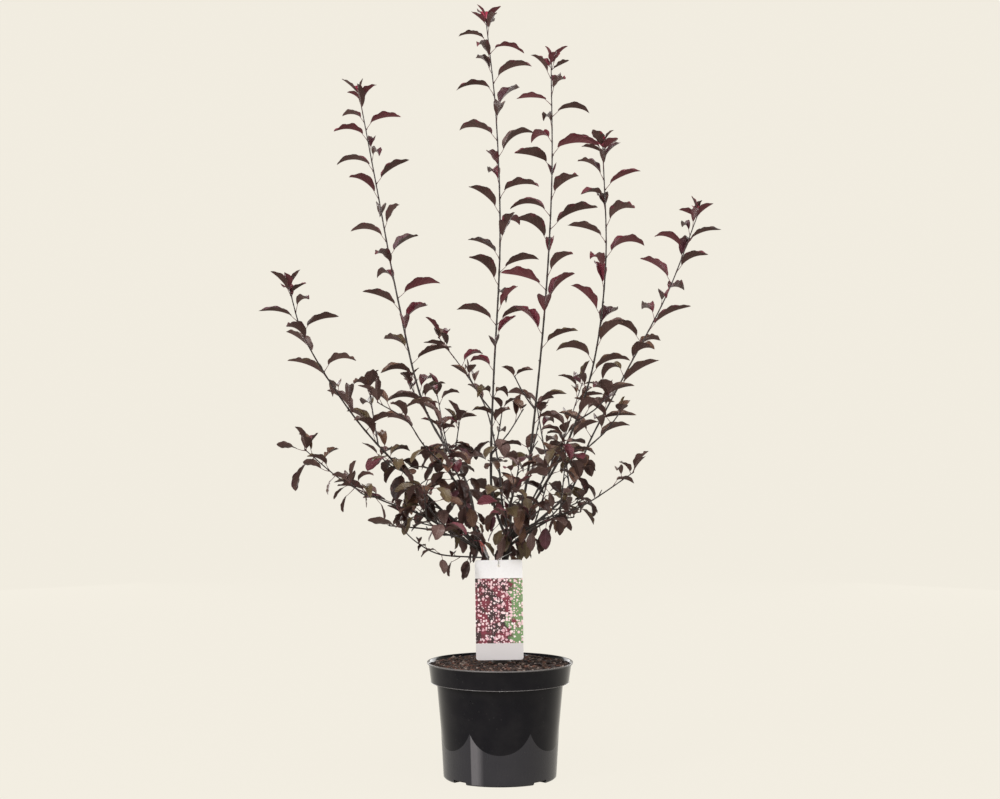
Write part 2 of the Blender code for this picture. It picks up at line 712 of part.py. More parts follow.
def card_space():
    """A box round the label's card, which the leaves keep out of."""
    half_width = CARD_WIDTH / 2 + 0.003
    half_depth = 0.004
    corners = ((-half_width, -half_depth), (half_width, -half_depth), (half_width, half_depth),
               (-half_width, half_depth))
    rings = [[CARD_TOP + Vector((across, depth, height)) for across, depth in corners]
             for height in (-CARD_HEIGHT - 0.003, 0.003)]
    return loft(rings)


def others_than(crowd, name):
    """The search trees of everything in the crown but one mass."""
    return [tree for owner in crowd if owner != name for tree in crowd[owner]]


def plan_shoots(crowd):
    """All the shoots, with the inner ring's set clear of the rest. Their limbs join the crowd."""
    shoots = list(SHOOTS)
    for shoot in shoots:
        crowd[shoot.name] = limb_trees(shoot)
    rng = random.Random(SEED)
    for number in range(INNER_COUNT):
        for _ in range(INNER_TRIES):
            shoot = inner_shoot(number, rng)
            stub, *rest = limb_trees(shoot)
            others = others_than(crowd, shoot.name)
            if not meets(stub, crowd["label"]) and not any(meets(tree, others) for tree in rest):
                shoots.append(shoot)
                crowd[shoot.name] = [stub] + rest
                break
    return shoots


def plan_masses(shoots, crowd):
    """For each shoot its twigs and leaves: first every mass's twigs, then its leaves."""
    twigs = {}
    for index, shoot in enumerate(shoots):
        stem = shoot_pieces(shoot)[2]
        rng = random.Random(SEED + index)
        sides = side_twigs(shoot, stem.path, rng, others_than(crowd, shoot.name))
        crowd[shoot.name] += [search_tree(tube(twig.path, twig.radii, TWIG_SIDES)) for twig in sides]
        twigs[shoot.name] = [Twig(stem.path, stem.radii, shoot.leaf_size)] + sides
    leaves = {}
    for index, shoot in enumerate(shoots):
        rng = random.Random(SEED * 7 + index)
        own = crowd[shoot.name]
        grown = grow_leaves(twigs[shoot.name], rng, own, others_than(crowd, shoot.name))
        crowd[shoot.name] = own + [search_tree(leaf_shape(leaf)) for leaf in grown]
        leaves[shoot.name] = grown
    return twigs, leaves


def plan_plant(tie):
    """The whole plant as its shoots, the trunk's shapes, and the twigs and leaves of each shoot."""
    crowd = {"label": [search_tree(tie), search_tree(card_space())]}
    shoots = plan_shoots(crowd)
    trunk = trunk_shapes(shoots)
    crowd["trunk"] = [search_tree(shape) for shape in trunk[:1 + len(ARMS)]]
    twigs, leaves = plan_masses(shoots, crowd)
    return shoots, trunk, twigs, leaves


def make_plant(bark, purple, tie):
    """The trunk, the boughs and the leafy masses."""
    shoots, trunk, twigs, leaves = plan_plant(tie)
    fuse("trunk", trunk, bark)
    for shoot in shoots:
        _, bough, stem = shoot_pieces(shoot)
        if bough:
            make_object("bough_" + shoot.name, tube(*bough), bark)
        shapes = [tube(*stem)]
        shapes += [tube(twig.path, twig.radii, TWIG_SIDES) for twig in twigs[shoot.name][1:]]
        shapes += [leaf_shape(leaf) for leaf in leaves[shoot.name]]
        fuse("leaves_" + shoot.name, shapes, purple)


def build():
    """Every piece of the plant and its pot."""
    for thing in list(bpy.data.objects):
        bpy.data.objects.remove(thing)
    make_pot(make_material("black_plastic", (0.018, 0.017, 0.019), 0.35))
    make_soil(make_material("soil", (0.035, 0.020, 0.014), 0.95))
    make_card(make_material("white_card", (0.85, 0.83, 0.82), 0.5))
    tie = closed_tube(tie_path(), TIE_RADIUS, 4, 0.006)
    make_object("label_tie", tie, make_material("clear_plastic", (0.75, 0.75, 0.75), 0.3))
    bark = make_material("bark", (0.030, 0.018, 0.015), 0.75)
    purple = make_material("purple_leaf", (0.085, 0.030, 0.032), 0.55)
    make_plant(bark, purple, tie)


build()
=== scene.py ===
"""The looks of a purple-leaf sand cherry in a nursery pot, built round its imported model.

Metres, +Z up, the front faces -Y. The shoots, twigs and leaves grow by the same rule and the same
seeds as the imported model's, so the limbs and most leaves stand where its plain solids do.
"""

import json
import math
import random
from collections import namedtuple

import bmesh
import bpy
from mathutils import Matrix, Quaternion, Vector, noise
from mathutils.bvhtree import BVHTree

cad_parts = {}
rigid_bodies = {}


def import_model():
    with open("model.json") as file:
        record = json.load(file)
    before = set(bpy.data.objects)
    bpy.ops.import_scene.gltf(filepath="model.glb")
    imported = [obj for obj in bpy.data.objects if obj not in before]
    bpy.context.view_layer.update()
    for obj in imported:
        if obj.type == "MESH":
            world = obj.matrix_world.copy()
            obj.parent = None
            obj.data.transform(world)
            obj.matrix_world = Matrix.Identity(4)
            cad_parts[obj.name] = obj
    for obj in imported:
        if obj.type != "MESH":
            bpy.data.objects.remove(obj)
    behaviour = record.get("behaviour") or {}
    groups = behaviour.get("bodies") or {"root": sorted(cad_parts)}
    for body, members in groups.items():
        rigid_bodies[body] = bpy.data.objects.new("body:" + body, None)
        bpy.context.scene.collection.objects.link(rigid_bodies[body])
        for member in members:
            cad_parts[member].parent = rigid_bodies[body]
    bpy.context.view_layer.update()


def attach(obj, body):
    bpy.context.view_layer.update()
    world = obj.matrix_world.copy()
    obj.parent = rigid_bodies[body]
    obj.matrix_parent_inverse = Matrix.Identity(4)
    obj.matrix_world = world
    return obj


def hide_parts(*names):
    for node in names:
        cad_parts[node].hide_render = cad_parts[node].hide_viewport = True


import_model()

# Pot: a cone over a nearly upright foot with six soft corners, under a deep rim band
RIM_RADIUS = 0.115
POT_HEIGHT = 0.1815
LIP_HEIGHT = 0.003
LIP_EDGE = 0.0005
BAND_BASE = 0.150
BAND_TOP_RADIUS = 0.1126
BAND_BASE_RADIUS = 0.1087
WALL_TOP_RADIUS = 0.0997
WALL_SLOPE = 0.0914
FOOT_RADIUS = 0.0885
FOOT_SLOPE = 0.040
FOOT_CORNERS = 6
FOOT_CORNER_BULGE = 0.0016
FOOT_PEAK = 0.078
FOOT_VALLEY = 0.047
WALL = 0.002
FLOOR = 0.003
BOTTOM_EDGE = 0.0015

# Drain slots cut through the pot's bottom edge
SLOT_COUNT = 4
SLOT_WIDTH = 0.027
SLOT_HEIGHT = 0.005
SLOT_DEPTH = 0.014

# Soil
SOIL_TOP = 0.1785
SOIL_EDGE_DROP = 0.002
SOIL_FLAT_RADIUS = 0.022

# Trunk: one stem with a root flare, which forks behind the label into two short arms
TRUNK_ROOT = Vector((0.002, 0.003, SOIL_TOP))
FORK = Vector((0.000, 0.000, 0.306))
TRUNK_BOW = Vector((0.003, 0.001, 0.0))
TRUNK_RADIUS = 0.0105
TRUNK_TAPER = 0.008
FLARE_RADIUS = 0.0160
FLARE_HEIGHT = 0.030
ARMS = {
    "left": (Vector((-0.036, -0.003, 0.366)), 0.0036),
    "right": (Vector((0.016, -0.003, 0.378)), 0.0054),
}
ARM_ROOT_SCALE = 1.25
ARM_TIP_SCALE = 0.85
STUB_LENGTH = 0.022
GAP = 0.0003

# Shoots
TIP_RADIUS = 0.0009
SHOOT_TAPER = 0.65
TRUNK_SIDES = 12
ARM_SIDES = 9
BOUGH_SIDES = 5
TWIG_SIDES = 3
BOUGH_STEP = 0.030
STEM_STEP = 0.055

Shoot = namedtuple("Shoot", "name arm share radius bare twigs leaf_size points")

SHOOTS = (
    Shoot("low_left", "left", 0.80, 0.0019, 0.085, 2, 0.95, (
        (-0.114, -0.075, 0.413), (-0.178, -0.105, 0.440), (-0.238, -0.120, 0.471), (-0.294, -0.130, 0.518))),
    Shoot("left", "left", 0.95, 0.0024, 0.120, 2, 1.12, (
        (-0.136, -0.020, 0.466), (-0.222, -0.050, 0.562), (-0.295, -0.090, 0.680), (-0.321, -0.110, 0.764))),
    Shoot("tall_left", "left", 1.0, 0.0025, 0.120, 2, 1.05, (
        (-0.053, 0.030, 0.460), (-0.123, 0.070, 0.585), (-0.166, 0.100, 0.756), (-0.203, 0.120, 0.947),
        (-0.230, 0.120, 1.090))),
    Shoot("tallest", "right", 0.85, 0.0024, 0.110, 2, 1.05, (
        (-0.011, 0.010, 0.435), (-0.014, 0.020, 0.514), (-0.010, 0.030, 0.631), (0.000, 0.040, 0.845),
        (-0.006, 0.030, 1.040), (-0.022, 0.020, 1.194))),
    Shoot("tall_right", "right", 1.0, 0.0024, 0.110, 2, 1.05, (
        (0.036, -0.045, 0.438), (0.049, -0.065, 0.531), (0.069, -0.090, 0.739), (0.079, -0.100, 0.929),
        (0.078, -0.100, 1.106))),
    Shoot("right", "right", 0.90, 0.0023, 0.110, 2, 1.05, (
        (0.065, -0.030, 0.453), (0.106, -0.090, 0.535), (0.142, -0.130, 0.652), (0.158, -0.160, 0.802),
        (0.153, -0.170, 0.970))),
    Shoot("far_right", "right", 0.76, 0.0023, 0.110, 2, 1.12, (
        (0.060, 0.020, 0.401), (0.115, 0.050, 0.452), (0.144, 0.080, 0.524), (0.205, 0.120, 0.636),
        (0.276, 0.150, 0.768), (0.329, 0.165, 0.902))),
    Shoot("back_middle", "right", 0.9, 0.0020, 0.090, 1, 0.95, (
        (0.003, 0.050, 0.433), (-0.002, 0.080, 0.486), (-0.021, 0.120, 0.574), (-0.054, 0.145, 0.633),
        (-0.101, 0.165, 0.696))),
    Shoot("front_left", "left", 0.85, 0.0020, 0.090, 1, 1.0, (
        (-0.066, -0.060, 0.462), (-0.116, -0.110, 0.525), (-0.141, -0.140, 0.563), (-0.183, -0.165, 0.590))),
    Shoot("trailing_left", "left", 0.65, 0.0014, 0.060, 0, 0.55, (
        (-0.044, -0.040, 0.349), (-0.094, -0.070, 0.356), (-0.128, -0.090, 0.376), (-0.152, -0.100, 0.400))),
    Shoot("low_right", "right", 0.78, 0.0019, 0.070, 1, 0.9, (
        (0.071, -0.060, 0.405), (0.133, -0.100, 0.436), (0.201, -0.120, 0.483))),
    Shoot("back_left", "left", 0.7, 0.0019, 0.080, 1, 1.0, (
        (-0.055, 0.075, 0.440), (-0.085, 0.140, 0.510), (-0.105, 0.195, 0.600))),
    Shoot("back_right", "right", 0.86, 0.0019, 0.080, 1, 1.0, (
        (0.060, 0.075, 0.447), (0.103, 0.145, 0.525), (0.138, 0.210, 0.620))),
    Shoot("front_middle", "right", 0.84, 0.0018, 0.070, 1, 1.0, (
        (0.017, -0.070, 0.413), (0.014, -0.125, 0.433), (0.022, -0.172, 0.462))),
)

# Inner shoots: short twigs that stand round the fork in a ring and fill the crown's foot
INNER_COUNT = 9
INNER_RADIUS = 0.0017
INNER_REACH = (0.100, 0.150)
INNER_RISE = (0.030, 0.095)
INNER_LEAF_SIZE = 0.96
INNER_SHARES = (0.78, 1.0)
INNER_TRIES = 40

# Side twigs, on the lower part of each shoot's leafy stem
SIDE_TWIG_LENGTH = (0.050, 0.095)
SIDE_TWIG_RADIUS = 0.0012
SIDE_TWIG_ZONE = 0.150
SIDE_TWIG_LEAN = math.radians(48)

# Leaves
BLADE_LENGTH = 0.064
BLADE_HALF_WIDTH = 0.0175
BLADE_WIDEST = 0.48
BLADE_THICKNESS = 0.0013
PETIOLE_LENGTH = 0.015
PETIOLE_RADIUS = 0.0009
ROOT_DEPTH = 0.0012
LEAF_TURN = math.radians(137.5)
LEAF_SPACING = 0.0230
FIRST_LEAF = 0.014
TIP_BUD = 0.004
TIP_SPACING = 0.45
TIP_SIZE = 0.36
TIP_REACH = 0.17
TIP_SHARE = 0.35
OLD_REACH = 0.50
TURN_TRIES = (0, 40, -40, 80, -80, 120)

# How a leaf is held, in degrees: in full growth, what a growing tip adds, what old age adds, the spread
STALK_RISE = (52, 22, -34, 9)
BLADE_START = (38, 36, -34, 13)
BLADE_BEND = (-55, 28, -18, 12)
BLADE_FOLD = (50, 12, -26, 7)
BLADE_ROLL = (0, 0, 0, 24)
LEAF_FORWARD = 0.6

# Clearances and the crown's floor
CLEARANCE = 0.0008
SPACE_BELOW = 0.262
SEED = 41

# Label: a card on a thin tie, which is looped round the trunk's right arm
CARD_WIDTH = 0.074
CARD_HEIGHT = 0.156
CARD_THICKNESS = 0.001
CARD_CORNER = 0.004
CARD_TOP = Vector((-0.0023, -0.030, 0.3436))
CARD_TILT = math.radians(-0.8)
HOLE_RADIUS = 0.0026
HOLE_DROP = 0.0092
TIE_RADIUS = 0.0006
TIE_HEIGHT = 0.353

Leaf = namedtuple("Leaf", "base heading petiole rise length half_width fold start end roll")
Twig = namedtuple("Twig", "path radii leaf_size")
Limb = namedtuple("Limb", "path radii sides ends")

# Fineness of the dressed pieces
HAIR = 1e-5
LIMB_STEP = 0.007
LIMB_SIDES = 8
STALK_SIDES = 5
LEAF_COLUMNS = (-1.0, -0.5, 0.0, 0.5, 1.0)
POT_STEPS = 240
POT_BEVEL = 0.0005
FOOT_ROWS = 12
CONE_ROWS = 10
SOIL_ROWS = 48
SOIL_STEPS = 180
PLAIN_TIE = (4, 0.006)
FINE_TIE = (8, 0.002)
PIECE_TRIANGLES = 190000

# Trunk bark: fineness, smoothings, and relief as (cells a metre round it, cells a metre along it, depth)
BARK_VOXEL = 0.0009
BARK_STEP = 0.004
BARK_SIDES = {"stem": 28, "arm": 18, "stub": 12}
BARK_SMOOTHINGS = 3
BARK_FOOT = 0.0015
BARK_RELIEF = ((90, 420, 0.00022), (420, 60, 0.00030))

# Limbs in the crown: how much slimmer they get than the plain model's, and how they swell at a leaf
SLIMMED_SHARE = 0.24
SLIMMED_LENGTH = 0.25
NODE_REACH = 0.006
NODE_SWELL = 0.22
WOOD_UNEVEN = 0.03

# Leaf outlines: rows along the blade, and (skew, fullness, taper) of its width
LEAF_FORMS = {"pointed": (22, (0.92, 0.76, 0.36)), "round": (14, (0.98, 0.64, 0.16))}
LEAF_THICKNESS = 0.0004
LEAF_FOLDS = (1.15, 0.75)
LEAF_RIPPLE = (0.008, 0.024)
LEAF_WAVES = 3.2
WAVE_SHIFT = 2.0
TOOTH_DEPTH = 0.030
NARROWEST = 0.05
TIP_FLICK = (-14, 20)
BITTEN_SHARE = 0.07
BITE_PLACE = (0.25, 0.8)
BITE_DEPTH = 0.55
BITE_LENGTH = 0.10

# Leaves of the long shoots: their size, width, tilt and arch, and how many are thinned, shed or paired
WHIP_SCALES = (0.72, 0.92)
WHIP_WIDTH = (0.68, 0.96)
WHIP_TILT = (-16, 12)
WHIP_ARCH = (0.45, 1.25)
THINNED_SHARES = (0.20, 0.50, 0.35, 0.80, 0.35)
SHED_SHARE = 0.02
CROWDED_HEIGHTS = (0.51, 0.65)
CROWDED_REACH = (0.17, 0.32)
PAIRED_HEIGHTS = (0.57, 0.73)
PAIRED_REACH = 0.165
PAIRED_SHARE = 0.50
PAIRED_SCALE = 0.85
GROWN_LENGTH = 0.034
GROWN_WIDTH = 0.27
SLIM_SIZE = 0.7
SLIM_SCALES = (0.8, 0.55)
YOUNG_HEIGHT = 0.72
RED_REACH = 0.09
FADED_HEIGHT = 0.68
YOUNG_BARK_RADIUS = 0.0014
STALK_RADII = (0.0008, 0.0005, 0.0004)
STALK_SAG = 0.06
BUD_SIZE = 0.0024
BUD_OUT = 0.0012

# Leaves that have just opened round a growing tip, with their angles in degrees
TWIG_TIP_LEAVES = 2
TIP_LEAF_SIZE = 0.42
TIP_LEAF_SIZES = (0.75, 1.2)
TIP_LEAF_WIDTH = (0.33, 0.43)
TIP_LEAF_STEP = 0.003
TIP_LEAF_STALK = 0.3
TIP_LEAF_START = (22, 58)
TIP_LEAF_FOLD = (20, 45)
TIP_LEAF_BEND = (0, 50)
TIP_LEAF_ROLL = (-20, 20)

# Foot of the crown: old leaves are short and round there, and grow as sprays on spurs
SPRAY_REACH = 0.580
SPRAY_AGE = 0.22
SPRAY_OUT = 0.23
SPRAY_FADE = 0.09
SPRAY_SIZES = (0.62, 0.52)
SPRAY_LENGTH = (0.82, 1.12)
SPRAY_START = (-30, 35)
SPRAY_DROOP = 25
SPRAY_TURN = (-35, 35)
SAME_TINT_SHARE = 0.5
SPUR_LENGTH = (0.006, 0.020)
SPUR_LIFT = 0.001
SPUR_RADII = (0.0010, 0.0009, 0.0007)

# Ranges of stalk, rise, half width, fold, bend and roll of old leaves: angles in degrees, others as shares
SPRAY_HELD = ((0.5, 0.85), (-5, 50), (0.25, 0.34), (8, 38), (25, 65), (-60, 60))
HANGING_HELD = ((0.4, 1.2), (-50, -20), (0.25, 0.34), (8, 25), (0, 20), (-50, 50))

# Old leaves that hang from bare boughs: shoot, distance along it (from its tip where negative) and number
HANGING_SPURS = (("trailing_left", 0.036, 1), ("trailing_left", 0.049, 2), ("trailing_left", 0.064, 1),
                 ("trailing_left", 0.098, 1), ("low_right", 0.118, 2), ("low_left", -0.060, 1),
                 ("low_left", -0.095, 2), ("low_left", -0.130, 1), ("low_left", -0.165, 2))
HANGING_SIZE = (0.36, 0.48)
HANGING_START = (-82, -52)
BOUGH_SPUR_STEP = (0.013, 0.022)
BARE_BOUGHS = ("low_left", "trailing_left")

# Where the crown's upright columns change, from its left to its right
SPRAY_COLUMNS = (-0.095, -0.030, 0.030, 0.095)

# How many leaves a spur carries on average, up to each height and in each column
SPRAY_FULLNESS = (
    (0.405, (0.1, 0.7, 1.2, 0.9, 0.3)),
    (0.470, (0.9, 2.8, 1.6, 0.3, 0.4)),
    (1.000, (3.2, 1.8, 1.3, 0.6, 3.2)),
)

# Leaves on the trunk's arms: arm, distance from the fork, degrees from the front, tint
ARM_LEAVES = (("left", 0.060, 25, "under"), ("left", 0.067, 140, "umber"), ("left", 0.070, -120, "plum"),
              ("right", 0.050, 35, "bronze"), ("right", 0.060, -50, "dusk"), ("right", 0.066, -110, "umber"),
              ("right", 0.070, 170, "maroon"), ("right", 0.072, -80, "plum"), ("right", 0.064, 95, "umber"))

# Single leaves: shoot, distance along it, degrees from the front, rise, roll, length, outline and tint
SINGLE_LEAVES = (
    ("tall_left", 0.012, 60, -66, 0, 0.028, "round", "salmon"),
    ("trailing_left", -0.002, -80, 22, 50, 0.046, "pointed", "rust"),
    ("low_left", -0.002, -85, 20, 62, 0.032, "round", "dusk"),
    ("low_left", -0.018, -75, -60, 66, 0.044, "round", "plum"),
    ("low_left", -0.050, -60, 28, 62, 0.032, "round", "dusk"),
    ("low_left", -0.085, -70, -40, 55, 0.026, "round", "olive"),
    ("tall_left", 0.160, -75, -42, 50, 0.052, "round", "maroon"),
    ("tall_left", 0.172, -35, -60, 20, 0.040, "round", "olive"),
    ("left", 0.196, 75, -45, -55, 0.046, "round", "bronze"),
    ("left", 0.168, -20, -55, 8, 0.044, "round", "umber"),
    ("left", 0.150, 40, -60, -20, 0.042, "round", "dusk"),
    ("left", 0.136, -60, -25, 50, 0.044, "round", "bronze"),
    ("left", 0.128, -30, -50, 20, 0.042, "round", "bronze"),
    ("left", 0.120, 20, -60, 0, 0.040, "round", "umber"),
    ("low_right", 0.040, 20, -75, 0, 0.028, "round", "olive"),
    ("low_right", 0.064, -30, -78, 0, 0.029, "round", "dusk"),
    ("low_right", 0.078, 15, -78, 0, 0.028, "round", "umber"),
    ("low_right", 0.094, -10, -80, 0, 0.034, "round", "plum"),
)
SINGLE_WIDTH = 0.30
SINGLE_STALK = 0.6
SINGLE_BEND = 18

# Crumbs of the soil: cells a metre, depth, and the shift that keeps the two patterns apart
CRUMB_RELIEF = ((95.0, 0.0022, (0.0, 0.0, 0.0)), (310.0, 0.0011, (7.0, 3.0, 1.0)))

# How wide the calm strip of soil along the pot's wall is
CALM_EDGE = 0.004

# Chips of bark and peat: half length, big ones' share and scale, then shares of the length, and the lean
CHIP_COUNT = 1500
CHIP_SIZE = (0.0010, 0.0042)
BIG_CHIPS = (0.12, 1.6)
CHIP_WIDTH = (0.45, 0.9)
CHIP_DEPTH = (0.25, 0.6)
CHIP_LEAN = (-0.6, 0.6)
CHIP_CORNERS = (0.75, 1.2)
CHIP_LIFT = 0.12

# Tints of the chips as (name, dark, light), and how common each is
CHIP_TINTS = (("dark", "1C1311", "332622"), ("brown", "35261F", "533F32"),
              ("red brown", "4A3029", "6C4F43"), ("weathered", "6A5B54", "94867D"))
CHIP_SHARES = (5, 4, 3, 2)

# Camera and studio
CAMERA_PLACE = (0.0, -3.057, 0.594)
CAMERA_LENS = 69.84
SENSOR_WIDTH = 36.0
COVE_RADIUS = 7.0
COVE_CORNER = 1.5
COVE_HEIGHT = 3.6
COVE_DROP = 0.0002
COVE_PAINT = 0.012
COVE_GLOW = 0.985
SKY_GLOW = 0.30
CREAM = "F2EDE1"

# How far the pale strips go up the band's base and down the lip, and their colour: a painted highlight along
# both edges, with dust on the lip
BAND_HIGHLIGHT = 0.0008
LIP_HIGHLIGHT_AND_DUST = 0.0018
EDGE_HIGHLIGHT_AND_DUST_COLOUR = "555253"

# The painted reflection of the left softbox, an upright streak on the pot's foot: the angles from the front
# where it begins, is full, fades and ends
REFLECTION_STREAK_ANGLES = (-0.520, -0.505, -0.400, -0.280)
REFLECTION_STREAK_COLOUR = "565458"

# Patterns: the size of a cell in millimetres
LEAF_BLOTCH = 18.18
BARK_BLOOM = 6.25
POT_STREAK = 11.11
POT_SPECK = 10.53
POT_CLOUD = 28.57
SOIL_CRUMB = 2.38
PRINT_CLOUD = 16.67

# Patterns too fine to show in their real size, drawn coarser: the size of a cell in millimetres
BARK_PORE = 3.03
POT_GRAIN = 1.11
CARD_MOTTLE = 3.85

# Printed spots of the label: cell in millimetres, how loosely they lie, and their palest and deepest tint
PRINT_SPOTS = ((6.2, 0.9, "E6D2D5", "CF9BA8"), (4.0, 0.8, "EFE2E4", "D8AEB8"))

# How strongly the leaves' skin mirrors the light
LEAF_GLOSS = 0.17

# Veins as shares of the blade, drawn two or three times as wide as real ones, which are too fine to show
RIB_SHARE = 0.070
VEIN_SHARE = 0.17
VEIN_PAIRS = 8.0
VEIN_SLANT = 0.55
VEIN_DEPTH = 0.0004

# Leaf finishes: name, colour, roughness, vein colour. The order of the slots is the order of the names
LEAF_FINISHES = {
    "scarlet": ("opening scarlet leaf", "7C1F33", 0.40, "541824"),
    "crimson": ("young crimson leaf", "5E1D2B", 0.40, "40161E"),
    "burgundy": ("burgundy leaf", "561C26", 0.42, "3E171E"),
    "maroon": ("brown maroon leaf", "4A1F25", 0.42, "6A3D44"),
    "plum": ("dark plum leaf", "371A1F", 0.40, "53333A"),
    "dusk": ("grey purple leaf", "4C3835", 0.36, "6C5751"),
    "umber": ("dark umber leaf", "1E0E0B", 0.38, "35211B"),
    "bronze": ("bronze leaf", "482F25", 0.36, "695141"),
    "olive": ("olive brown leaf", "433626", 0.36, "62543E"),
    "rust": ("rusty brown leaf", "3E2721", 0.36, "5C4237"),
    "salmon": ("withered salmon leaf", "B0625A", 0.50, "8A443F"),
    "under": ("leaf underside", "402D2A", 0.62, "543F3B"),
    "under_red": ("red leaf underside", "522A2E", 0.60, "623C3F"),
    "stalk": ("red leaf stalk", "4E2A2E", 0.45, "4E2A2E"),
}
LEAF_SLOTS = list(LEAF_FINISHES)
TINT_SHARES = {
    "tip": {"crimson": 1, "burgundy": 3, "maroon": 4, "plum": 4, "umber": 3},
    "whip": {"maroon": 7, "plum": 3, "dusk": 3, "burgundy": 6, "umber": 1},
    "middle": {"maroon": 2, "plum": 1, "dusk": 8, "umber": 1, "bronze": 7, "rust": 2, "olive": 5,
               "burgundy": 1},
    "foot": {"umber": 8, "olive": 5, "bronze": 7, "plum": 2, "rust": 2, "dusk": 3, "maroon": 2},
}

# The leaves that open round a growing tip, from the oldest to the youngest
BUD_TINTS = ("maroon", "burgundy", "crimson", "scarlet")

# Label: where the printed field begins and ends, measured down from the card's top
PRINT_TOP = 0.0285
PRINT_FOOT = 0.130

# Studio lights: what they point at, then name, place, size and power in watts
LIGHT_TARGET = (0, 0, 0.6)
SOFTBOXES = (
    ("overhead softbox", (0.0, -0.8, 3.0), (1.6, 1.6), 90.0),
    ("left softbox", (-2.2, -2.1, 1.9), (0.9, 1.6), 90.0),
    ("right softbox", (2.4, -2.2, 1.8), (0.9, 1.6), 30.0),
    ("rear left softbox", (-1.7, 2.8, 0.9), (1.4, 2.2), 45.0),
    ("rear right softbox", (1.7, 2.8, 0.9), (1.4, 2.2), 45.0),
)


def loft(rings):
    """A closed skin over rings of the same number of points, with a flat cap at each end."""
    sides = len(rings[0])
    points = [point for ring in rings for point in ring]
    faces = [tuple(reversed(range(sides)))]
    for row in range(len(rings) - 1):
        low = row * sides
        for side in range(sides):
            after = (side + 1) % sides
            faces.append((low + side, low + after, low + sides + after, low + sides + side))
    last = (len(rings) - 1) * sides
    faces.append(tuple(range(last, last + sides)))
    return points, faces


def smooth_path(points, step):
    """Points about one step apart along a smooth curve through the given points."""
    points = [Vector(point) for point in points]
    ends = [2 * points[0] - points[1]] + points + [2 * points[-1] - points[-2]]
    path = [points[0]]
    for index in range(1, len(ends) - 2):
        before, start, end, after = ends[index - 1:index + 3]
        count = max(1, round((end - start).length / step))
        for number in range(1, count + 1):
            t = number / count
            bend = (2 * start + (end - before) * t + (2 * before - 5 * start + 4 * end - after) * t ** 2
                    + (3 * start - before - 3 * end + after) * t ** 3)
            path.append(bend / 2)
    return path


def path_lengths(path):
    """How far along the path each of its points lies."""
    lengths = [0.0]
    for start, end in zip(path, path[1:]):
        lengths.append(lengths[-1] + (end - start).length)
    return lengths


def along(path, distance):
    """The point and the direction at a distance along the path."""
    for start, end in zip(path, path[1:]):
        length = (end - start).length
        if distance <= length:
            return start.lerp(end, distance / length), (end - start).normalized()
        distance -= length
    return path[-1], (path[-1] - path[-2]).normalized()


def stretch(path, start, end):
    """The part of a path between two distances along it."""
    lengths = path_lengths(path)
    inner = [point for point, length in zip(path, lengths) if start + 0.002 < length < end - 0.002]
    return [along(path, start)[0]] + inner + [along(path, end)[0]]


def tube(path, radii, sides, ends=(None, None)):
    """A many-sided limb along a path, with a radius for each point. Its ends may face given ways."""
    normal = None
    rings = []
    for index, point in enumerate(path):
        back = path[max(index - 1, 0)]
        ahead = path[min(index + 1, len(path) - 1)]
        tangent = (ahead - back).normalized()
        if index == 0 and ends[0]:
            tangent = ends[0]
        if index == len(path) - 1 and ends[1]:
            tangent = ends[1]
        if normal is None:
            normal = tangent.orthogonal()
        normal = (normal - tangent * normal.dot(tangent)).normalized()
        across = tangent.cross(normal)
        turns = [number * math.tau / sides for number in range(sides)]
        rings.append([point + (normal * math.cos(turn) + across * math.sin(turn)) * radii[index]
                      for turn in turns])
    return loft(rings)


def shoot_radii(path, whole, start, radius):
    """The taper of a stretch of a shoot that begins a distance along the whole shoot."""
    radii = []
    for length in path_lengths(path):
        left = max(0.0, 1 - (start + length) / whole)
        radii.append(TIP_RADIUS + (radius - TIP_RADIUS) * left ** SHOOT_TAPER)
    return radii


def arm_place(arm, share):
    """The middle and the radius of an arm of the trunk, at a share of its length."""
    end, radius = ARMS[arm]
    scale = ARM_ROOT_SCALE + (ARM_TIP_SCALE - ARM_ROOT_SCALE) * share
    return FORK.lerp(end, share), radius * scale


def shoot_path(shoot):
    """The curve of a whole shoot."""
    return smooth_path((arm_place(shoot.arm, shoot.share)[0],) + shoot.points, BOUGH_STEP)


def thin_out(path, step):
    """The same path with fewer points, its ends kept."""
    kept = [path[0]]
    for point in path[1:-1]:
        if (point - kept[-1]).length >= step and (path[-1] - point).length >= step / 2:
            kept.append(point)
    return kept + [path[-1]]


def shoot_pieces(shoot):
    """A shoot's stub, bough and leafy stem. An inner shoot has no bough."""
    path = shoot_path(shoot)
    whole = path_lengths(path)[-1]
    cuts = [(0.0, STUB_LENGTH), (STUB_LENGTH + GAP, shoot.bare), (shoot.bare + GAP, whole)]
    if not shoot.bare:
        cuts = [(0.0, STUB_LENGTH), None, (STUB_LENGTH + GAP, whole)]
    pieces = []
    for cut, step, sides in zip(cuts, (0, 0, STEM_STEP), (BOUGH_SIDES, BOUGH_SIDES, TWIG_SIDES)):
        if cut is None:
            pieces.append(None)
            continue
        part = thin_out(stretch(path, *cut), step)
        ends = tuple(along(path, distance)[1] for distance in cut)
        pieces.append(Limb(part, shoot_radii(part, whole, cut[0], shoot.radius), sides, ends))
    return pieces


def inner_shoot(number, rng):
    """One short inner shoot, at its turn in the ring round the fork."""
    bearing = (number + rng.uniform(-0.35, 0.35)) * math.tau / INNER_COUNT
    reach = rng.uniform(*INNER_REACH)
    rise = rng.uniform(*INNER_RISE)
    out = Vector((math.cos(bearing), math.sin(bearing), 0))
    arm = "left" if out.x < 0 else "right"
    share = rng.uniform(*INNER_SHARES)
    start = arm_place(arm, share)[0]
    middle = start + out * reach * 0.5 + Vector((0, 0, rise * 0.75))
    end = start + out * reach + Vector((0, 0, rise))
    return Shoot(f"inner_{number + 1}", arm, share, INNER_RADIUS, 0.0, 1, INNER_LEAF_SIZE,
                 (tuple(middle), tuple(end)))


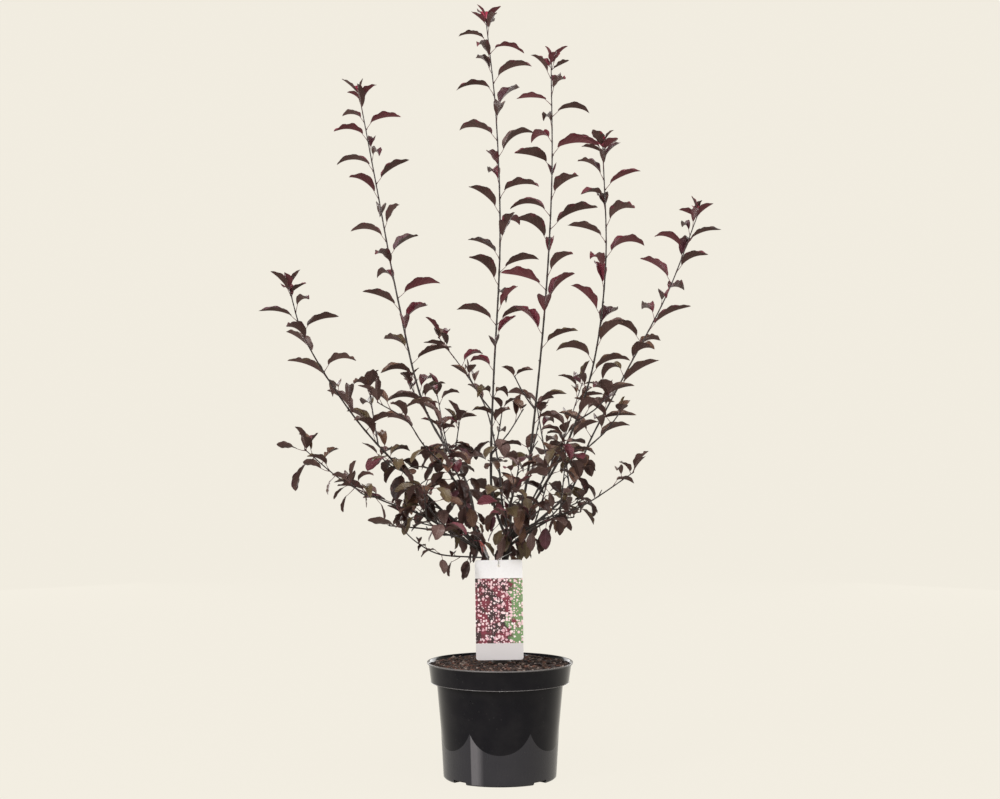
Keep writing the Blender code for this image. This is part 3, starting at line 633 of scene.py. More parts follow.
def trunk_shapes(shoots):
    """The trunk's main stem, its two arms and a stub for each shoot."""
    foot = TRUNK_ROOT + Vector((0, 0, GAP))
    middle = foot.lerp(FORK, 0.5) + TRUNK_BOW
    curve = smooth_path((foot, middle, FORK), FLARE_HEIGHT / 8)
    whole = path_lengths(curve)[-1]
    path = []
    radii = []
    for distance in (0.0, FLARE_HEIGHT * 0.2, FLARE_HEIGHT * 0.5, FLARE_HEIGHT, whole * 0.5, whole):
        flare = max(0.0, 1 - distance / FLARE_HEIGHT) ** 2
        path.append(along(curve, distance)[0])
        radii.append(TRUNK_RADIUS - TRUNK_TAPER * distance + (FLARE_RADIUS - TRUNK_RADIUS) * flare)
    path.append(FORK + Vector((0, 0, TRUNK_RADIUS * 0.6)))
    radii.append(TRUNK_RADIUS * 0.5)
    shapes = [tube(path, radii, TRUNK_SIDES, (Vector((0, 0, 1)), None))]
    for arm, (end, radius) in ARMS.items():
        sunk = FORK - Vector((0, 0, TRUNK_RADIUS))
        centres = [sunk] + [arm_place(arm, share)[0] for share in (0.5, 1.0)]
        sizes = [arm_place(arm, share)[1] for share in (0.0, 0.5, 1.0)]
        centres.append(end + (end - FORK).normalized() * radius * 0.5)
        sizes.append(radius * 0.4)
        shapes.append(tube(centres, sizes, ARM_SIDES))
    for shoot in shoots:
        shapes.append(tube(*shoot_pieces(shoot)[0]))
    return shapes


def midrib(leaf, steps, flick=0.0):
    """The leaf's midrib as (point, tangent, side, normal), from the blade's base to its tip."""
    up = Vector((0, 0, 1))
    point = leaf.base + (leaf.heading * math.cos(leaf.rise) + up * math.sin(leaf.rise)) * leaf.petiole
    frames = []
    for number in range(steps + 1):
        share = number / steps
        angle = leaf.start + (leaf.end - leaf.start) * share + flick * max(0.0, 4 * share - 3)
        tangent = leaf.heading * math.cos(angle) + up * math.sin(angle)
        normal = up * math.cos(angle) - leaf.heading * math.sin(angle)
        turn = Quaternion(tangent, leaf.roll * share)
        side = tangent.cross(normal)
        frames.append((point, tangent, turn @ side, turn @ normal))
        point = point + tangent * leaf.length / steps
    return frames


def leaf_shape(leaf, grow=0.0, whole=True):
    """A folded leaf of 14 triangles on its pointed stalk. Without its stalk it is the blade alone."""
    frames = midrib(leaf, 12)
    foot, foot_tangent, foot_side, foot_normal = frames[0]
    middle, _, side, normal = frames[round(12 * BLADE_WIDEST)]
    tip = frames[-1][0] + frames[-1][1] * grow
    wide = leaf.half_width + grow
    out = side * wide * math.cos(leaf.fold)
    lift = normal * wide * math.sin(leaf.fold)
    half_thick = BLADE_THICKNESS / 2 + grow
    stalk = PETIOLE_RADIUS + grow
    corners = (-foot_side * stalk + foot_normal * stalk / 2, foot_side * stalk + foot_normal * stalk / 2,
               -foot_normal * stalk)
    root = leaf.base - foot_tangent * ROOT_DEPTH if whole else leaf.base.lerp(foot, 0.9)
    points = [root] + [foot + corner for corner in corners]
    points += [middle - out + lift, middle + out + lift, middle + normal * half_thick,
               middle - normal * half_thick, tip]
    left, right, top, under, end = 4, 5, 6, 7, 8
    faces = [(0, 2, 1), (0, 3, 2), (0, 1, 3), (1, 2, top), (1, top, left), (2, right, top),
             (left, top, end), (top, right, end), (1, left, under), (left, end, under),
             (end, right, under), (right, 2, under), (2, 3, under), (3, 1, under)]
    return points, faces


def search_tree(shape):
    """A search tree over a shape's faces, with its middle and its reach for a quick first test."""
    points, faces = shape
    middle = sum(points, Vector()) / len(points)
    reach = max((point - middle).length for point in points)
    return BVHTree.FromPolygons(points, faces), middle, reach


def meets(tree, others):
    """Whether a shape's tree cuts any of the others."""
    for other in others:
        if (tree[1] - other[1]).length < tree[2] + other[2] and tree[0].overlap(other[0]):
            return True
    return False


def side_twigs(shoot, stem, rng, others):
    """Short twigs on the lower part of a leafy stem that touch no limb of another mass."""
    twigs = []
    zone = min(SIDE_TWIG_ZONE, path_lengths(stem)[-1] * 0.6)
    for number in range(shoot.twigs):
        place = (number + rng.uniform(0.3, 0.8)) * zone / shoot.twigs
        point, tangent = along(stem, place)
        length = rng.uniform(*SIDE_TWIG_LENGTH)
        turn = number * LEAF_TURN + rng.uniform(0, math.tau)
        for extra in TURN_TRIES:
            across = Quaternion(tangent, turn + math.radians(extra)) @ tangent.orthogonal().normalized()
            heading = tangent * math.cos(SIDE_TWIG_LEAN) + across * math.sin(SIDE_TWIG_LEAN)
            bend = point + heading * length * 0.5 + Vector((0, 0, 0.1 * length))
            end = point + heading * length * 0.9 + Vector((0, 0, 0.32 * length))
            path = smooth_path((point, bend, end), length / 3)
            radii = [SIDE_TWIG_RADIUS + (TIP_RADIUS - SIDE_TWIG_RADIUS) * step / (len(path) - 1)
                     for step in range(len(path))]
            grown = [radius + CLEARANCE * 2 for radius in radii]
            if end.z > SPACE_BELOW and not meets(search_tree(tube(path, grown, TWIG_SIDES)), others):
                twigs.append(Twig(path, radii, shoot.leaf_size))
                break
    return twigs


def leaf_places(twig, rng):
    """Where leaves want to grow on a twig, from its foot to its tip: (place, turn, size, youth)."""
    whole = path_lengths(twig.path)[-1]
    reach = min(TIP_REACH, TIP_SHARE * whole)
    turn = rng.uniform(0, math.tau)
    place = FIRST_LEAF
    wanted = []
    while place < whole - TIP_BUD:
        youth = 1 - min(1.0, (whole - place) / reach)
        full = TIP_SIZE + (1 - TIP_SIZE) * (1 - youth) ** 0.35
        wanted.append((place, turn, twig.leaf_size * full * rng.uniform(0.9, 1.1), youth))
        turn += LEAF_TURN + rng.uniform(-0.25, 0.25)
        place += LEAF_SPACING * (1 - (1 - TIP_SPACING) * youth) * rng.uniform(0.85, 1.15)
    wanted.append((whole - GAP * 2, turn, twig.leaf_size * TIP_SIZE, 1.0))
    return wanted


def crown_age(point):
    """How old the leaves are at a place: 1 at the crown's shaded foot, 0 from half a metre up."""
    return max(0.0, min(1.0, (OLD_REACH - point.z) / (OLD_REACH - FORK.z)))


def held(angles, youth, age, rng):
    """One of a leaf's angles, in radians."""
    growth, tip, old, spread = angles
    return math.radians(growth + tip * youth ** 8 + old * age + rng.uniform(-spread, spread))


def make_leaf(twig, place, turn, size, youth, rng):
    """One leaf at a place on its twig: upright near a tip, arched lower down, hanging when old."""
    point, tangent = along(twig.path, place)
    age = crown_age(point) * (1 - youth)
    across = Quaternion(tangent, turn) @ tangent.orthogonal().normalized()
    heading = across + tangent * LEAF_FORWARD
    heading.z = 0
    heading = heading.normalized() if heading.length > 0.05 else Vector((1, 0, 0))
    start = held(BLADE_START, youth, age, rng)
    return Leaf(base=point, heading=heading, petiole=PETIOLE_LENGTH * (0.45 + 0.55 * size),
                rise=held(STALK_RISE, youth, age, rng), length=BLADE_LENGTH * size,
                half_width=BLADE_HALF_WIDTH * size * (1 - 0.15 * youth + 0.12 * age),
                fold=held(BLADE_FOLD, youth, age, rng), start=start,
                end=start + held(BLADE_BEND, youth, age, rng), roll=held(BLADE_ROLL, youth, age, rng))


def grow_leaves(twigs, rng, own_limbs, others):
    """The leaves of one mass, each turned on its twig until it touches nothing, or skipped."""
    leaves = []
    own = list(own_limbs)
    for twig in twigs:
        for place, turn, size, youth in leaf_places(twig, rng):
            for extra in TURN_TRIES:
                leaf = make_leaf(twig, place, turn + math.radians(extra), size, youth, rng)
                shape = leaf_shape(leaf, CLEARANCE)
                blade = search_tree(leaf_shape(leaf, CLEARANCE, whole=False))
                inside = min(point.z for point in shape[0]) > SPACE_BELOW
                if inside and not meets(blade, own) and not meets(search_tree(shape), others):
                    leaves.append(leaf)
                    own.append(blade)
                    break
    return leaves


def wall_radius(height):
    """The outer radius of the pot's cone."""
    return WALL_TOP_RADIUS - WALL_SLOPE * (BAND_BASE - height)


def foot_radius(height):
    """The outer radius of the pot's foot as a function of the angle, where it stands out of the cone."""
    half = math.pi / FOOT_CORNERS

    def radius(angle):
        off = (angle + half) % (2 * half)
        off = abs(off - half)
        ridge = (1 / math.cos(off) - 1) / (1 / math.cos(half) - 1)
        bulge = FOOT_CORNER_BULGE * (0.2 + 0.8 * min(1.0, height / FOOT_PEAK))
        return max(wall_radius(height), FOOT_RADIUS + FOOT_SLOPE * height + bulge * ridge)

    return radius


def pot_inside():
    """The pot's inner outline as (radius, height), from its rim down to its floor."""
    return [(RIM_RADIUS - WALL, POT_HEIGHT),
            (BAND_TOP_RADIUS - WALL, POT_HEIGHT - LIP_HEIGHT - LIP_EDGE * 2),
            (BAND_BASE_RADIUS - WALL, BAND_BASE + WALL), (WALL_TOP_RADIUS - WALL, BAND_BASE + WALL * 0.75),
            (FOOT_RADIUS - WALL, FLOOR)]


def tie_path():
    """The tie's closed route: through the hole, over the card's top edge and round the right arm."""
    hole = CARD_TOP + Vector((HOLE_DROP * math.sin(-CARD_TILT), 0, -HOLE_DROP))
    front = -CARD_THICKNESS / 2 - TIE_RADIUS * 2
    share = (TIE_HEIGHT - FORK.z) / (ARMS["right"][0].z - FORK.z)
    arm, radius = arm_place("right", share)
    loop = radius + TIE_RADIUS + GAP * 3
    over = CARD_TOP.z + TIE_RADIUS + GAP
    points = [hole, hole + Vector((0, front, 0.0015)),
              Vector((CARD_TOP.x, CARD_TOP.y + front, over - 0.002)), Vector((CARD_TOP.x, CARD_TOP.y, over))]
    for degrees in (-20, 35, 90, 145, 200):
        angle = math.radians(degrees)
        points.append(arm + Vector((loop * math.cos(angle), loop * math.sin(angle), 0)))
    points.append(hole + Vector((-0.0005, -front + 0.002, 0.0005)))
    return points


def closed_tube(points, radius, sides, step):
    """A closed loop of round section through the given points."""
    count = len(points)
    path = []
    for index in range(count):
        before, start, end, after = (points[(index + offset) % count] for offset in (-1, 0, 1, 2))
        pieces = max(2, round((end - start).length / step))
        for number in range(pieces):
            t = number / pieces
            bend = (2 * start + (end - before) * t + (2 * before - 5 * start + 4 * end - after) * t ** 2
                    + (3 * start - before - 3 * end + after) * t ** 3)
            path.append(bend / 2)
    faces = []
    skin = []
    up = Vector((0, 0, 1))
    for index, point in enumerate(path):
        tangent = (path[(index + 1) % len(path)] - path[index - 1]).normalized()
        across = tangent.cross(up)
        across = (across if across.length > 0.2 else tangent.cross(Vector((1, 0, 0)))).normalized()
        normal = across.cross(tangent)
        for side in range(sides):
            angle = side * math.tau / sides
            skin.append(point + (across * math.cos(angle) + normal * math.sin(angle)) * radius)
    total = len(path) * sides
    for row in range(len(path)):
        for side in range(sides):
            after = (side + 1) % sides
            corner = row * sides
            faces.append(((corner + sides + side) % total, (corner + sides + after) % total,
                          (corner + after), (corner + side)))
    return skin, faces


def limb_trees(shoot):
    """Search trees over a shoot's stub, bough and stem."""
    trees = []
    for limb in shoot_pieces(shoot):
        if limb:
            grown = [radius + CLEARANCE for radius in limb.radii]
            trees.append(search_tree(tube(limb.path, grown, limb.sides, limb.ends)))
    return trees


def card_space():
    """A box round the label's card, which the leaves keep out of."""
    half_width = CARD_WIDTH / 2 + 0.003
    half_depth = 0.004
    corners = ((-half_width, -half_depth), (half_width, -half_depth), (half_width, half_depth),
               (-half_width, half_depth))
    rings = [[CARD_TOP + Vector((across, depth, height)) for across, depth in corners]
             for height in (-CARD_HEIGHT - 0.003, 0.003)]
    return loft(rings)


def others_than(crowd, name):
    """The search trees of everything in the crown but one mass."""
    return [tree for owner in crowd if owner != name for tree in crowd[owner]]


def plan_shoots(crowd):
    """All the shoots, with the inner ring's set clear of the rest. Their limbs join the crowd."""
    shoots = list(SHOOTS)
    for shoot in shoots:
        crowd[shoot.name] = limb_trees(shoot)
    rng = random.Random(SEED)
    for number in range(INNER_COUNT):
        for _ in range(INNER_TRIES):
            shoot = inner_shoot(number, rng)
            stub, *rest = limb_trees(shoot)
            others = others_than(crowd, shoot.name)
            if not meets(stub, crowd["label"]) and not any(meets(tree, others) for tree in rest):
                shoots.append(shoot)
                crowd[shoot.name] = [stub] + rest
                break
    return shoots


def plan_masses(shoots, crowd):
    """For each shoot its twigs and leaves: first every mass's twigs, then its leaves."""
    twigs = {}
    for index, shoot in enumerate(shoots):
        stem = shoot_pieces(shoot)[2]
        rng = random.Random(SEED + index)
        sides = side_twigs(shoot, stem.path, rng, others_than(crowd, shoot.name))
        crowd[shoot.name] += [search_tree(tube(twig.path, twig.radii, TWIG_SIDES)) for twig in sides]
        twigs[shoot.name] = [Twig(stem.path, stem.radii, shoot.leaf_size)] + sides
    leaves = {}
    for index, shoot in enumerate(shoots):
        rng = random.Random(SEED * 7 + index)
        own = crowd[shoot.name]
        grown = grow_leaves(twigs[shoot.name], rng, own, others_than(crowd, shoot.name))
        crowd[shoot.name] = own + [search_tree(leaf_shape(leaf)) for leaf in grown]
        leaves[shoot.name] = grown
    return twigs, leaves


def plan_plant(tie):
    """The whole plant as its shoots, and the twigs and leaves of each."""
    crowd = {"label": [search_tree(tie), search_tree(card_space())]}
    shoots = plan_shoots(crowd)
    trunk = trunk_shapes(shoots)
    crowd["trunk"] = [search_tree(shape) for shape in trunk[:1 + len(ARMS)]]
    twigs, leaves = plan_masses(shoots, crowd)
    return shoots, twigs, leaves


def linear(code):
    """An sRGB hex colour as linear red, green, blue and alpha."""
    shares = [int(code[place:place + 2], 16) / 255 for place in (0, 2, 4)]
    return (*[share / 12.92 if share <= 0.04045 else ((share + 0.055) / 1.055) ** 2.4
              for share in shares], 1.0)


def add(tree, kind, sockets=None, **settings):
    """Adds a shader node with its settings, and sets or links its sockets."""
    node = tree.nodes.new("ShaderNode" + kind)
    for name, value in settings.items():
        setattr(node, name, value)
    for socket, value in (sockets or {}).items():
        if isinstance(value, bpy.types.NodeSocket):
            tree.links.new(value, node.inputs[socket])
        else:
            node.inputs[socket].default_value = value
    return node


def plain_finish(name, code, roughness, **sockets):
    """A material of one colour, as (material, node tree, shader)."""
    material = bpy.data.materials.new(name)
    material.use_nodes = True
    tree = material.node_tree
    shader = tree.nodes["Principled BSDF"]
    shader.inputs["Base Color"].default_value = linear(code)
    shader.inputs["Roughness"].default_value = roughness
    for socket, value in sockets.items():
        shader.inputs[socket.replace("_", " ")].default_value = value
    return material, tree, shader


def cells(size):
    """The scale of a pattern, in cells a metre, from the size of a cell in millimetres."""
    return 1000 / size


def speckle(tree, size, detail=2.0, roughness=0.5):
    """Fine noise on the piece's own coordinates, as a factor socket."""
    place = add(tree, "TexCoord")
    spots = add(tree, "TexNoise", {"Vector": place.outputs["Object"], "Scale": cells(size),
                                   "Detail": detail, "Roughness": roughness})
    return spots.outputs["Fac"]


def leaf_finish(name, code, roughness, vein):
    """A leathery leaf skin: a plain colour, a little uneven, with a midrib and side veins."""
    material, tree, shader = plain_finish(name, code, roughness, Specular_IOR_Level=LEAF_GLOSS)
    place = add(tree, "UVMap", uv_map="leaf")
    parts = add(tree, "SeparateXYZ", {"Vector": place.outputs["UV"]})
    off = add(tree, "Math", {0: parts.outputs["X"], 1: 0.5}, operation="SUBTRACT")
    out = add(tree, "Math", {0: off.outputs[0]}, operation="ABSOLUTE")
    slant = add(tree, "Math", {0: out.outputs[0], 1: -VEIN_SLANT, 2: parts.outputs["Y"]},
                operation="MULTIPLY_ADD")
    rows = add(tree, "Math", {0: slant.outputs[0], 1: VEIN_PAIRS}, operation="MULTIPLY")
    wave = add(tree, "Math", {0: rows.outputs[0], 1: 0.5}, operation="PINGPONG")
    line = add(tree, "MapRange", {"Value": wave.outputs[0], "From Min": 0.0, "From Max": VEIN_SHARE,
                                  "To Min": 1.0, "To Max": 0.0}, interpolation_type="SMOOTHSTEP")
    rib = add(tree, "MapRange", {"Value": out.outputs[0], "From Min": 0.0, "From Max": RIB_SHARE,
                                 "To Min": 1.0, "To Max": 0.0}, interpolation_type="SMOOTHSTEP")
    veins = add(tree, "Math", {0: line.outputs[0], 1: rib.outputs[0]}, operation="MAXIMUM")
    blotches = speckle(tree, LEAF_BLOTCH, 3.0)
    uneven = add(tree, "MapRange", {"Value": blotches, "From Min": 0.35, "From Max": 0.70, "To Max": 0.45})
    share = add(tree, "Math", {0: veins.outputs[0], 1: 0.55, 2: uneven.outputs[0]},
                operation="MULTIPLY_ADD")
    colour = add(tree, "Mix", {0: share.outputs[0], 6: linear(code), 7: linear(vein)}, data_type="RGBA",
                 clamp_factor=True)
    tree.links.new(colour.outputs[2], shader.inputs["Base Color"])
    relief = add(tree, "Bump", {"Height": veins.outputs[0], "Strength": 0.5, "Distance": VEIN_DEPTH},
                 invert=True)
    tree.links.new(relief.outputs["Normal"], shader.inputs["Normal"])
    return material


def bark_finish(name, dark, light, roughness):
    """Cherry bark: smooth, with pale pores across the limb and thin grey bloom."""
    material, tree, shader = plain_finish(name, dark, roughness, Specular_IOR_Level=0.4)
    place = add(tree, "TexCoord")
    flat = add(tree, "Mapping", {"Vector": place.outputs["Object"], "Scale": (1.0, 1.0, 4.0)})
    pores = add(tree, "TexVoronoi", {"Vector": flat.outputs[0], "Scale": cells(BARK_PORE)}, feature="F1")
    pore = add(tree, "MapRange", {"Value": pores.outputs["Distance"], "From Min": 0.12, "From Max": 0.22,
                                  "To Min": 1.0, "To Max": 0.0})
    bloom = speckle(tree, BARK_BLOOM, 4.0)
    greyed = add(tree, "MapRange", {"Value": bloom, "From Min": 0.45, "From Max": 0.75,
                                    "To Min": 0.0, "To Max": 0.55})
    share = add(tree, "Math", {0: pore.outputs[0], 1: 0.5, 2: greyed.outputs[0]}, operation="MULTIPLY_ADD")
    colour = add(tree, "Mix", {0: share.outputs[0], 6: linear(dark), 7: linear(light)}, data_type="RGBA",
                 clamp_factor=True)
    tree.links.new(colour.outputs[2], shader.inputs["Base Color"])
    relief = add(tree, "Bump", {"Height": share.outputs[0], "Strength": 0.5, "Distance": 0.0003})
    tree.links.new(relief.outputs["Normal"], shader.inputs["Normal"])
    return material


def paint_reflection_streak(tree, shader):
    """Lightens a pot finish in one upright streak beside the left corner of the pot's foot: a painted
    reflection of the left softbox.
    """
    place = add(tree, "TexCoord")
    parts = add(tree, "SeparateXYZ", {"Vector": place.outputs["Object"]})
    front = add(tree, "Math", {0: parts.outputs["Y"], 1: -1.0}, operation="MULTIPLY")
    angle = add(tree, "Math", {0: parts.outputs["X"], 1: front.outputs[0]}, operation="ARCTAN2")
    rise = add(tree, "MapRange", {"Value": angle.outputs[0], "From Min": REFLECTION_STREAK_ANGLES[0],
                                  "From Max": REFLECTION_STREAK_ANGLES[1]})
    fall = add(tree, "MapRange", {"Value": angle.outputs[0], "From Min": REFLECTION_STREAK_ANGLES[2],
                                  "From Max": REFLECTION_STREAK_ANGLES[3], "To Min": 1.0, "To Max": 0.0})
    share = add(tree, "Math", {0: rise.outputs[0], 1: fall.outputs[0]}, operation="MULTIPLY")
    before = shader.inputs["Base Color"].links[0].from_socket
    colour = add(tree, "Mix", {0: share.outputs[0], 6: before, 7: linear(REFLECTION_STREAK_COLOUR)}, data_type="RGBA")
    tree.links.new(colour.outputs[2], shader.inputs["Base Color"])


def pot_finish(name, code, dusty, roughness, gloss, dust):
    """Moulded black polypropylene: satin, a little scuffed, with splashes of dry soil. The paler colours
    given for the foot and the edges carry painted reflection and painted highlight.
    """
    material, tree, shader = plain_finish(name, code, roughness, Specular_IOR_Level=gloss, IOR=1.49)
    place = add(tree, "TexCoord")
    tall = add(tree, "Mapping", {"Vector": place.outputs["Object"], "Scale": (1.0, 1.0, 0.12)})
    streaks = add(tree, "TexNoise", {"Vector": tall.outputs[0], "Scale": cells(POT_STREAK), "Detail": 3.0})
    uneven = add(tree, "MapRange", {"Value": streaks.outputs["Fac"], "From Min": 0.3, "From Max": 0.7,
                                    "To Min": roughness - 0.03, "To Max": roughness + 0.05})
    tree.links.new(uneven.outputs[0], shader.inputs["Roughness"])
    specks = add(tree, "TexVoronoi", {"Vector": place.outputs["Object"], "Scale": cells(POT_SPECK)},
                 feature="F1")
    speck = add(tree, "MapRange", {"Value": specks.outputs["Distance"], "From Min": 0.05, "From Max": 0.11,
                                   "To Min": dust, "To Max": 0.0})
    clouds = speckle(tree, POT_CLOUD, 4.0)
    cloud = add(tree, "MapRange", {"Value": clouds, "From Min": 0.42, "From Max": 0.75,
                                   "To Min": 0.0, "To Max": dust * 0.35})
    share = add(tree, "Math", {0: speck.outputs[0], 1: cloud.outputs[0]}, operation="ADD")
    colour = add(tree, "Mix", {0: share.outputs[0], 6: linear(code), 7: linear(dusty)}, data_type="RGBA",
                 clamp_factor=True)
    tree.links.new(colour.outputs[2], shader.inputs["Base Color"])
    grain = speckle(tree, POT_GRAIN, 1.0)
    relief = add(tree, "Bump", {"Height": grain, "Strength": 0.12, "Distance": 0.0002})
    tree.links.new(relief.outputs["Normal"], shader.inputs["Normal"])
    return material


def soil_finish(name, dark, light):
    """Moist potting soil: nearly black crumbs with paler fibres."""
    material, tree, shader = plain_finish(name, dark, 0.9, Specular_IOR_Level=0.3)
    crumbs = speckle(tree, SOIL_CRUMB, 5.0, 0.7)
    share = add(tree, "MapRange", {"Value": crumbs, "From Min": 0.42, "From Max": 0.72})
    colour = add(tree, "Mix", {0: share.outputs[0], 6: linear(dark), 7: linear(light)}, data_type="RGBA")
    tree.links.new(colour.outputs[2], shader.inputs["Base Color"])
    relief = add(tree, "Bump", {"Height": crumbs, "Strength": 0.8, "Distance": 0.001})
    tree.links.new(relief.outputs["Normal"], shader.inputs["Normal"])
    return material


def print_finish():
    """The label's printed field: loose pale round spots over dark red, with green to one side."""
    material, tree, shader = plain_finish("printed label field", "6B2436", 0.32, Specular_IOR_Level=0.4)
    place = add(tree, "TexCoord")
    parts = add(tree, "SeparateXYZ", {"Vector": place.outputs["Object"]})
    flat = add(tree, "CombineXYZ", {"X": parts.outputs["X"], "Y": parts.outputs["Z"]})
    clouds = add(tree, "TexNoise", {"Vector": flat.outputs[0], "Scale": cells(PRINT_CLOUD), "Detail": 3.0},
                 noise_dimensions="2D")
    darker = add(tree, "MapRange", {"Value": clouds.outputs["Fac"], "From Min": 0.38, "From Max": 0.56})
    reds = add(tree, "Mix", {0: darker.outputs[0], 6: linear("7A3040"), 7: linear("38282A")},
               data_type="RGBA")
    lean = add(tree, "Math", {0: clouds.outputs["Fac"], 1: 0.055, 2: parts.outputs["X"]},
               operation="MULTIPLY_ADD")
    greener = add(tree, "MapRange", {"Value": lean.outputs[0], "From Min": 0.042, "From Max": 0.050})
    ground = add(tree, "Mix", {0: greener.outputs[0], 6: reds.outputs[2], 7: linear("6B8A5C")},
                 data_type="RGBA")
    colour = ground.outputs[2]
    for size, spread, pale, deep in PRINT_SPOTS:
        spots = add(tree, "TexVoronoi", {"Vector": flat.outputs[0], "Scale": cells(size),
                                         "Randomness": spread}, feature="F1", voronoi_dimensions="2D")
        luck = add(tree, "SeparateColor", {"Color": spots.outputs["Color"]})
        reach = add(tree, "MapRange", {"Value": luck.outputs["Red"], "From Min": 0.25, "To Min": 0.0,
                                       "To Max": 0.46})
        inside = add(tree, "Math", {0: spots.outputs["Distance"], 1: reach.outputs[0]},
                     operation="LESS_THAN")
        tint = add(tree, "Mix", {0: luck.outputs["Green"], 6: linear(pale), 7: linear(deep)},
                   data_type="RGBA")
        layer = add(tree, "Mix", {0: inside.outputs[0], 6: colour, 7: tint.outputs[2]}, data_type="RGBA")
        colour = layer.outputs[2]
    tree.links.new(colour, shader.inputs["Base Color"])
    return material


def card_finish(name, code):
    """Glossy white plastic card with a faint mottle."""
    material, tree, shader = plain_finish(name, code, 0.35, Specular_IOR_Level=0.5)
    mottle = speckle(tree, CARD_MOTTLE, 2.0)
    share = add(tree, "MapRange", {"Value": mottle, "From Min": 0.4, "From Max": 0.7, "To Max": 0.12})
    colour = add(tree, "Mix", {0: share.outputs[0], 6: linear(code), 7: linear("C4BFC0")}, data_type="RGBA")
    tree.links.new(colour.outputs[2], shader.inputs["Base Color"])
    return material


def keep_piece(name, mesh, materials, replaced=()):
    """Puts a finished mesh in the scene as a piece of the plant."""
    piece = bpy.data.objects.new(name, mesh)
    bpy.context.scene.collection.objects.link(piece)
    for number, material in enumerate(materials):
        if number < len(mesh.materials):
            mesh.materials[number] = material
        else:
            mesh.materials.append(material)
    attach(piece, "root")
    if replaced:
        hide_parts(*replaced)


def mesh_of(model, name):
    """The mesh of a bmesh, with its faces pointing outwards."""
    bmesh.ops.recalc_face_normals(model, faces=model.faces)
    mesh = bpy.data.meshes.new(name)
    model.to_mesh(mesh)
    model.free()
    return mesh


def with_modifiers(mesh, name, make):
    """The mesh after the modifiers that a function gives its object."""
    thing = bpy.data.objects.new(name, mesh)
    bpy.context.scene.collection.objects.link(thing)
    make(thing)
    bpy.context.view_layer.update()
    done = bpy.data.meshes.new_from_object(thing.evaluated_get(bpy.context.evaluated_depsgraph_get()))
    bpy.data.objects.remove(thing)
    return done


def spun(profile, steps):
    """A bmesh of a profile of (radius, height) spun round the pot's axis."""
    model = bmesh.new()
    points = [model.verts.new((radius, 0, height)) for radius, height in profile]
    lines = [model.edges.new(pair) for pair in zip(points, points[1:])]
    bmesh.ops.spin(model, geom=points + lines, cent=(0, 0, 0), axis=(0, 0, 1), angle=math.tau, steps=steps,
                   use_merge=True)
    bmesh.ops.remove_doubles(model, verts=model.verts, dist=1e-6)
    return model


def angle_from_front(point):
    """A point's angle round the pot's axis, from the front."""
    return math.atan2(point.x, -point.y)


def arch_height(angle):
    """Where the pot's foot runs into its cone, at an angle from the front."""
    half = math.pi / FOOT_CORNERS
    off = abs((angle + half) % (2 * half) - half)
    ridge = (1 / math.cos(off) - 1) / (1 / math.cos(half) - 1)
    bulge = FOOT_CORNER_BULGE * ridge
    rise = FOOT_RADIUS + 0.2 * bulge - WALL_TOP_RADIUS + WALL_SLOPE * BAND_BASE
    return rise / (WALL_SLOPE - FOOT_SLOPE - 0.8 * bulge / FOOT_PEAK)


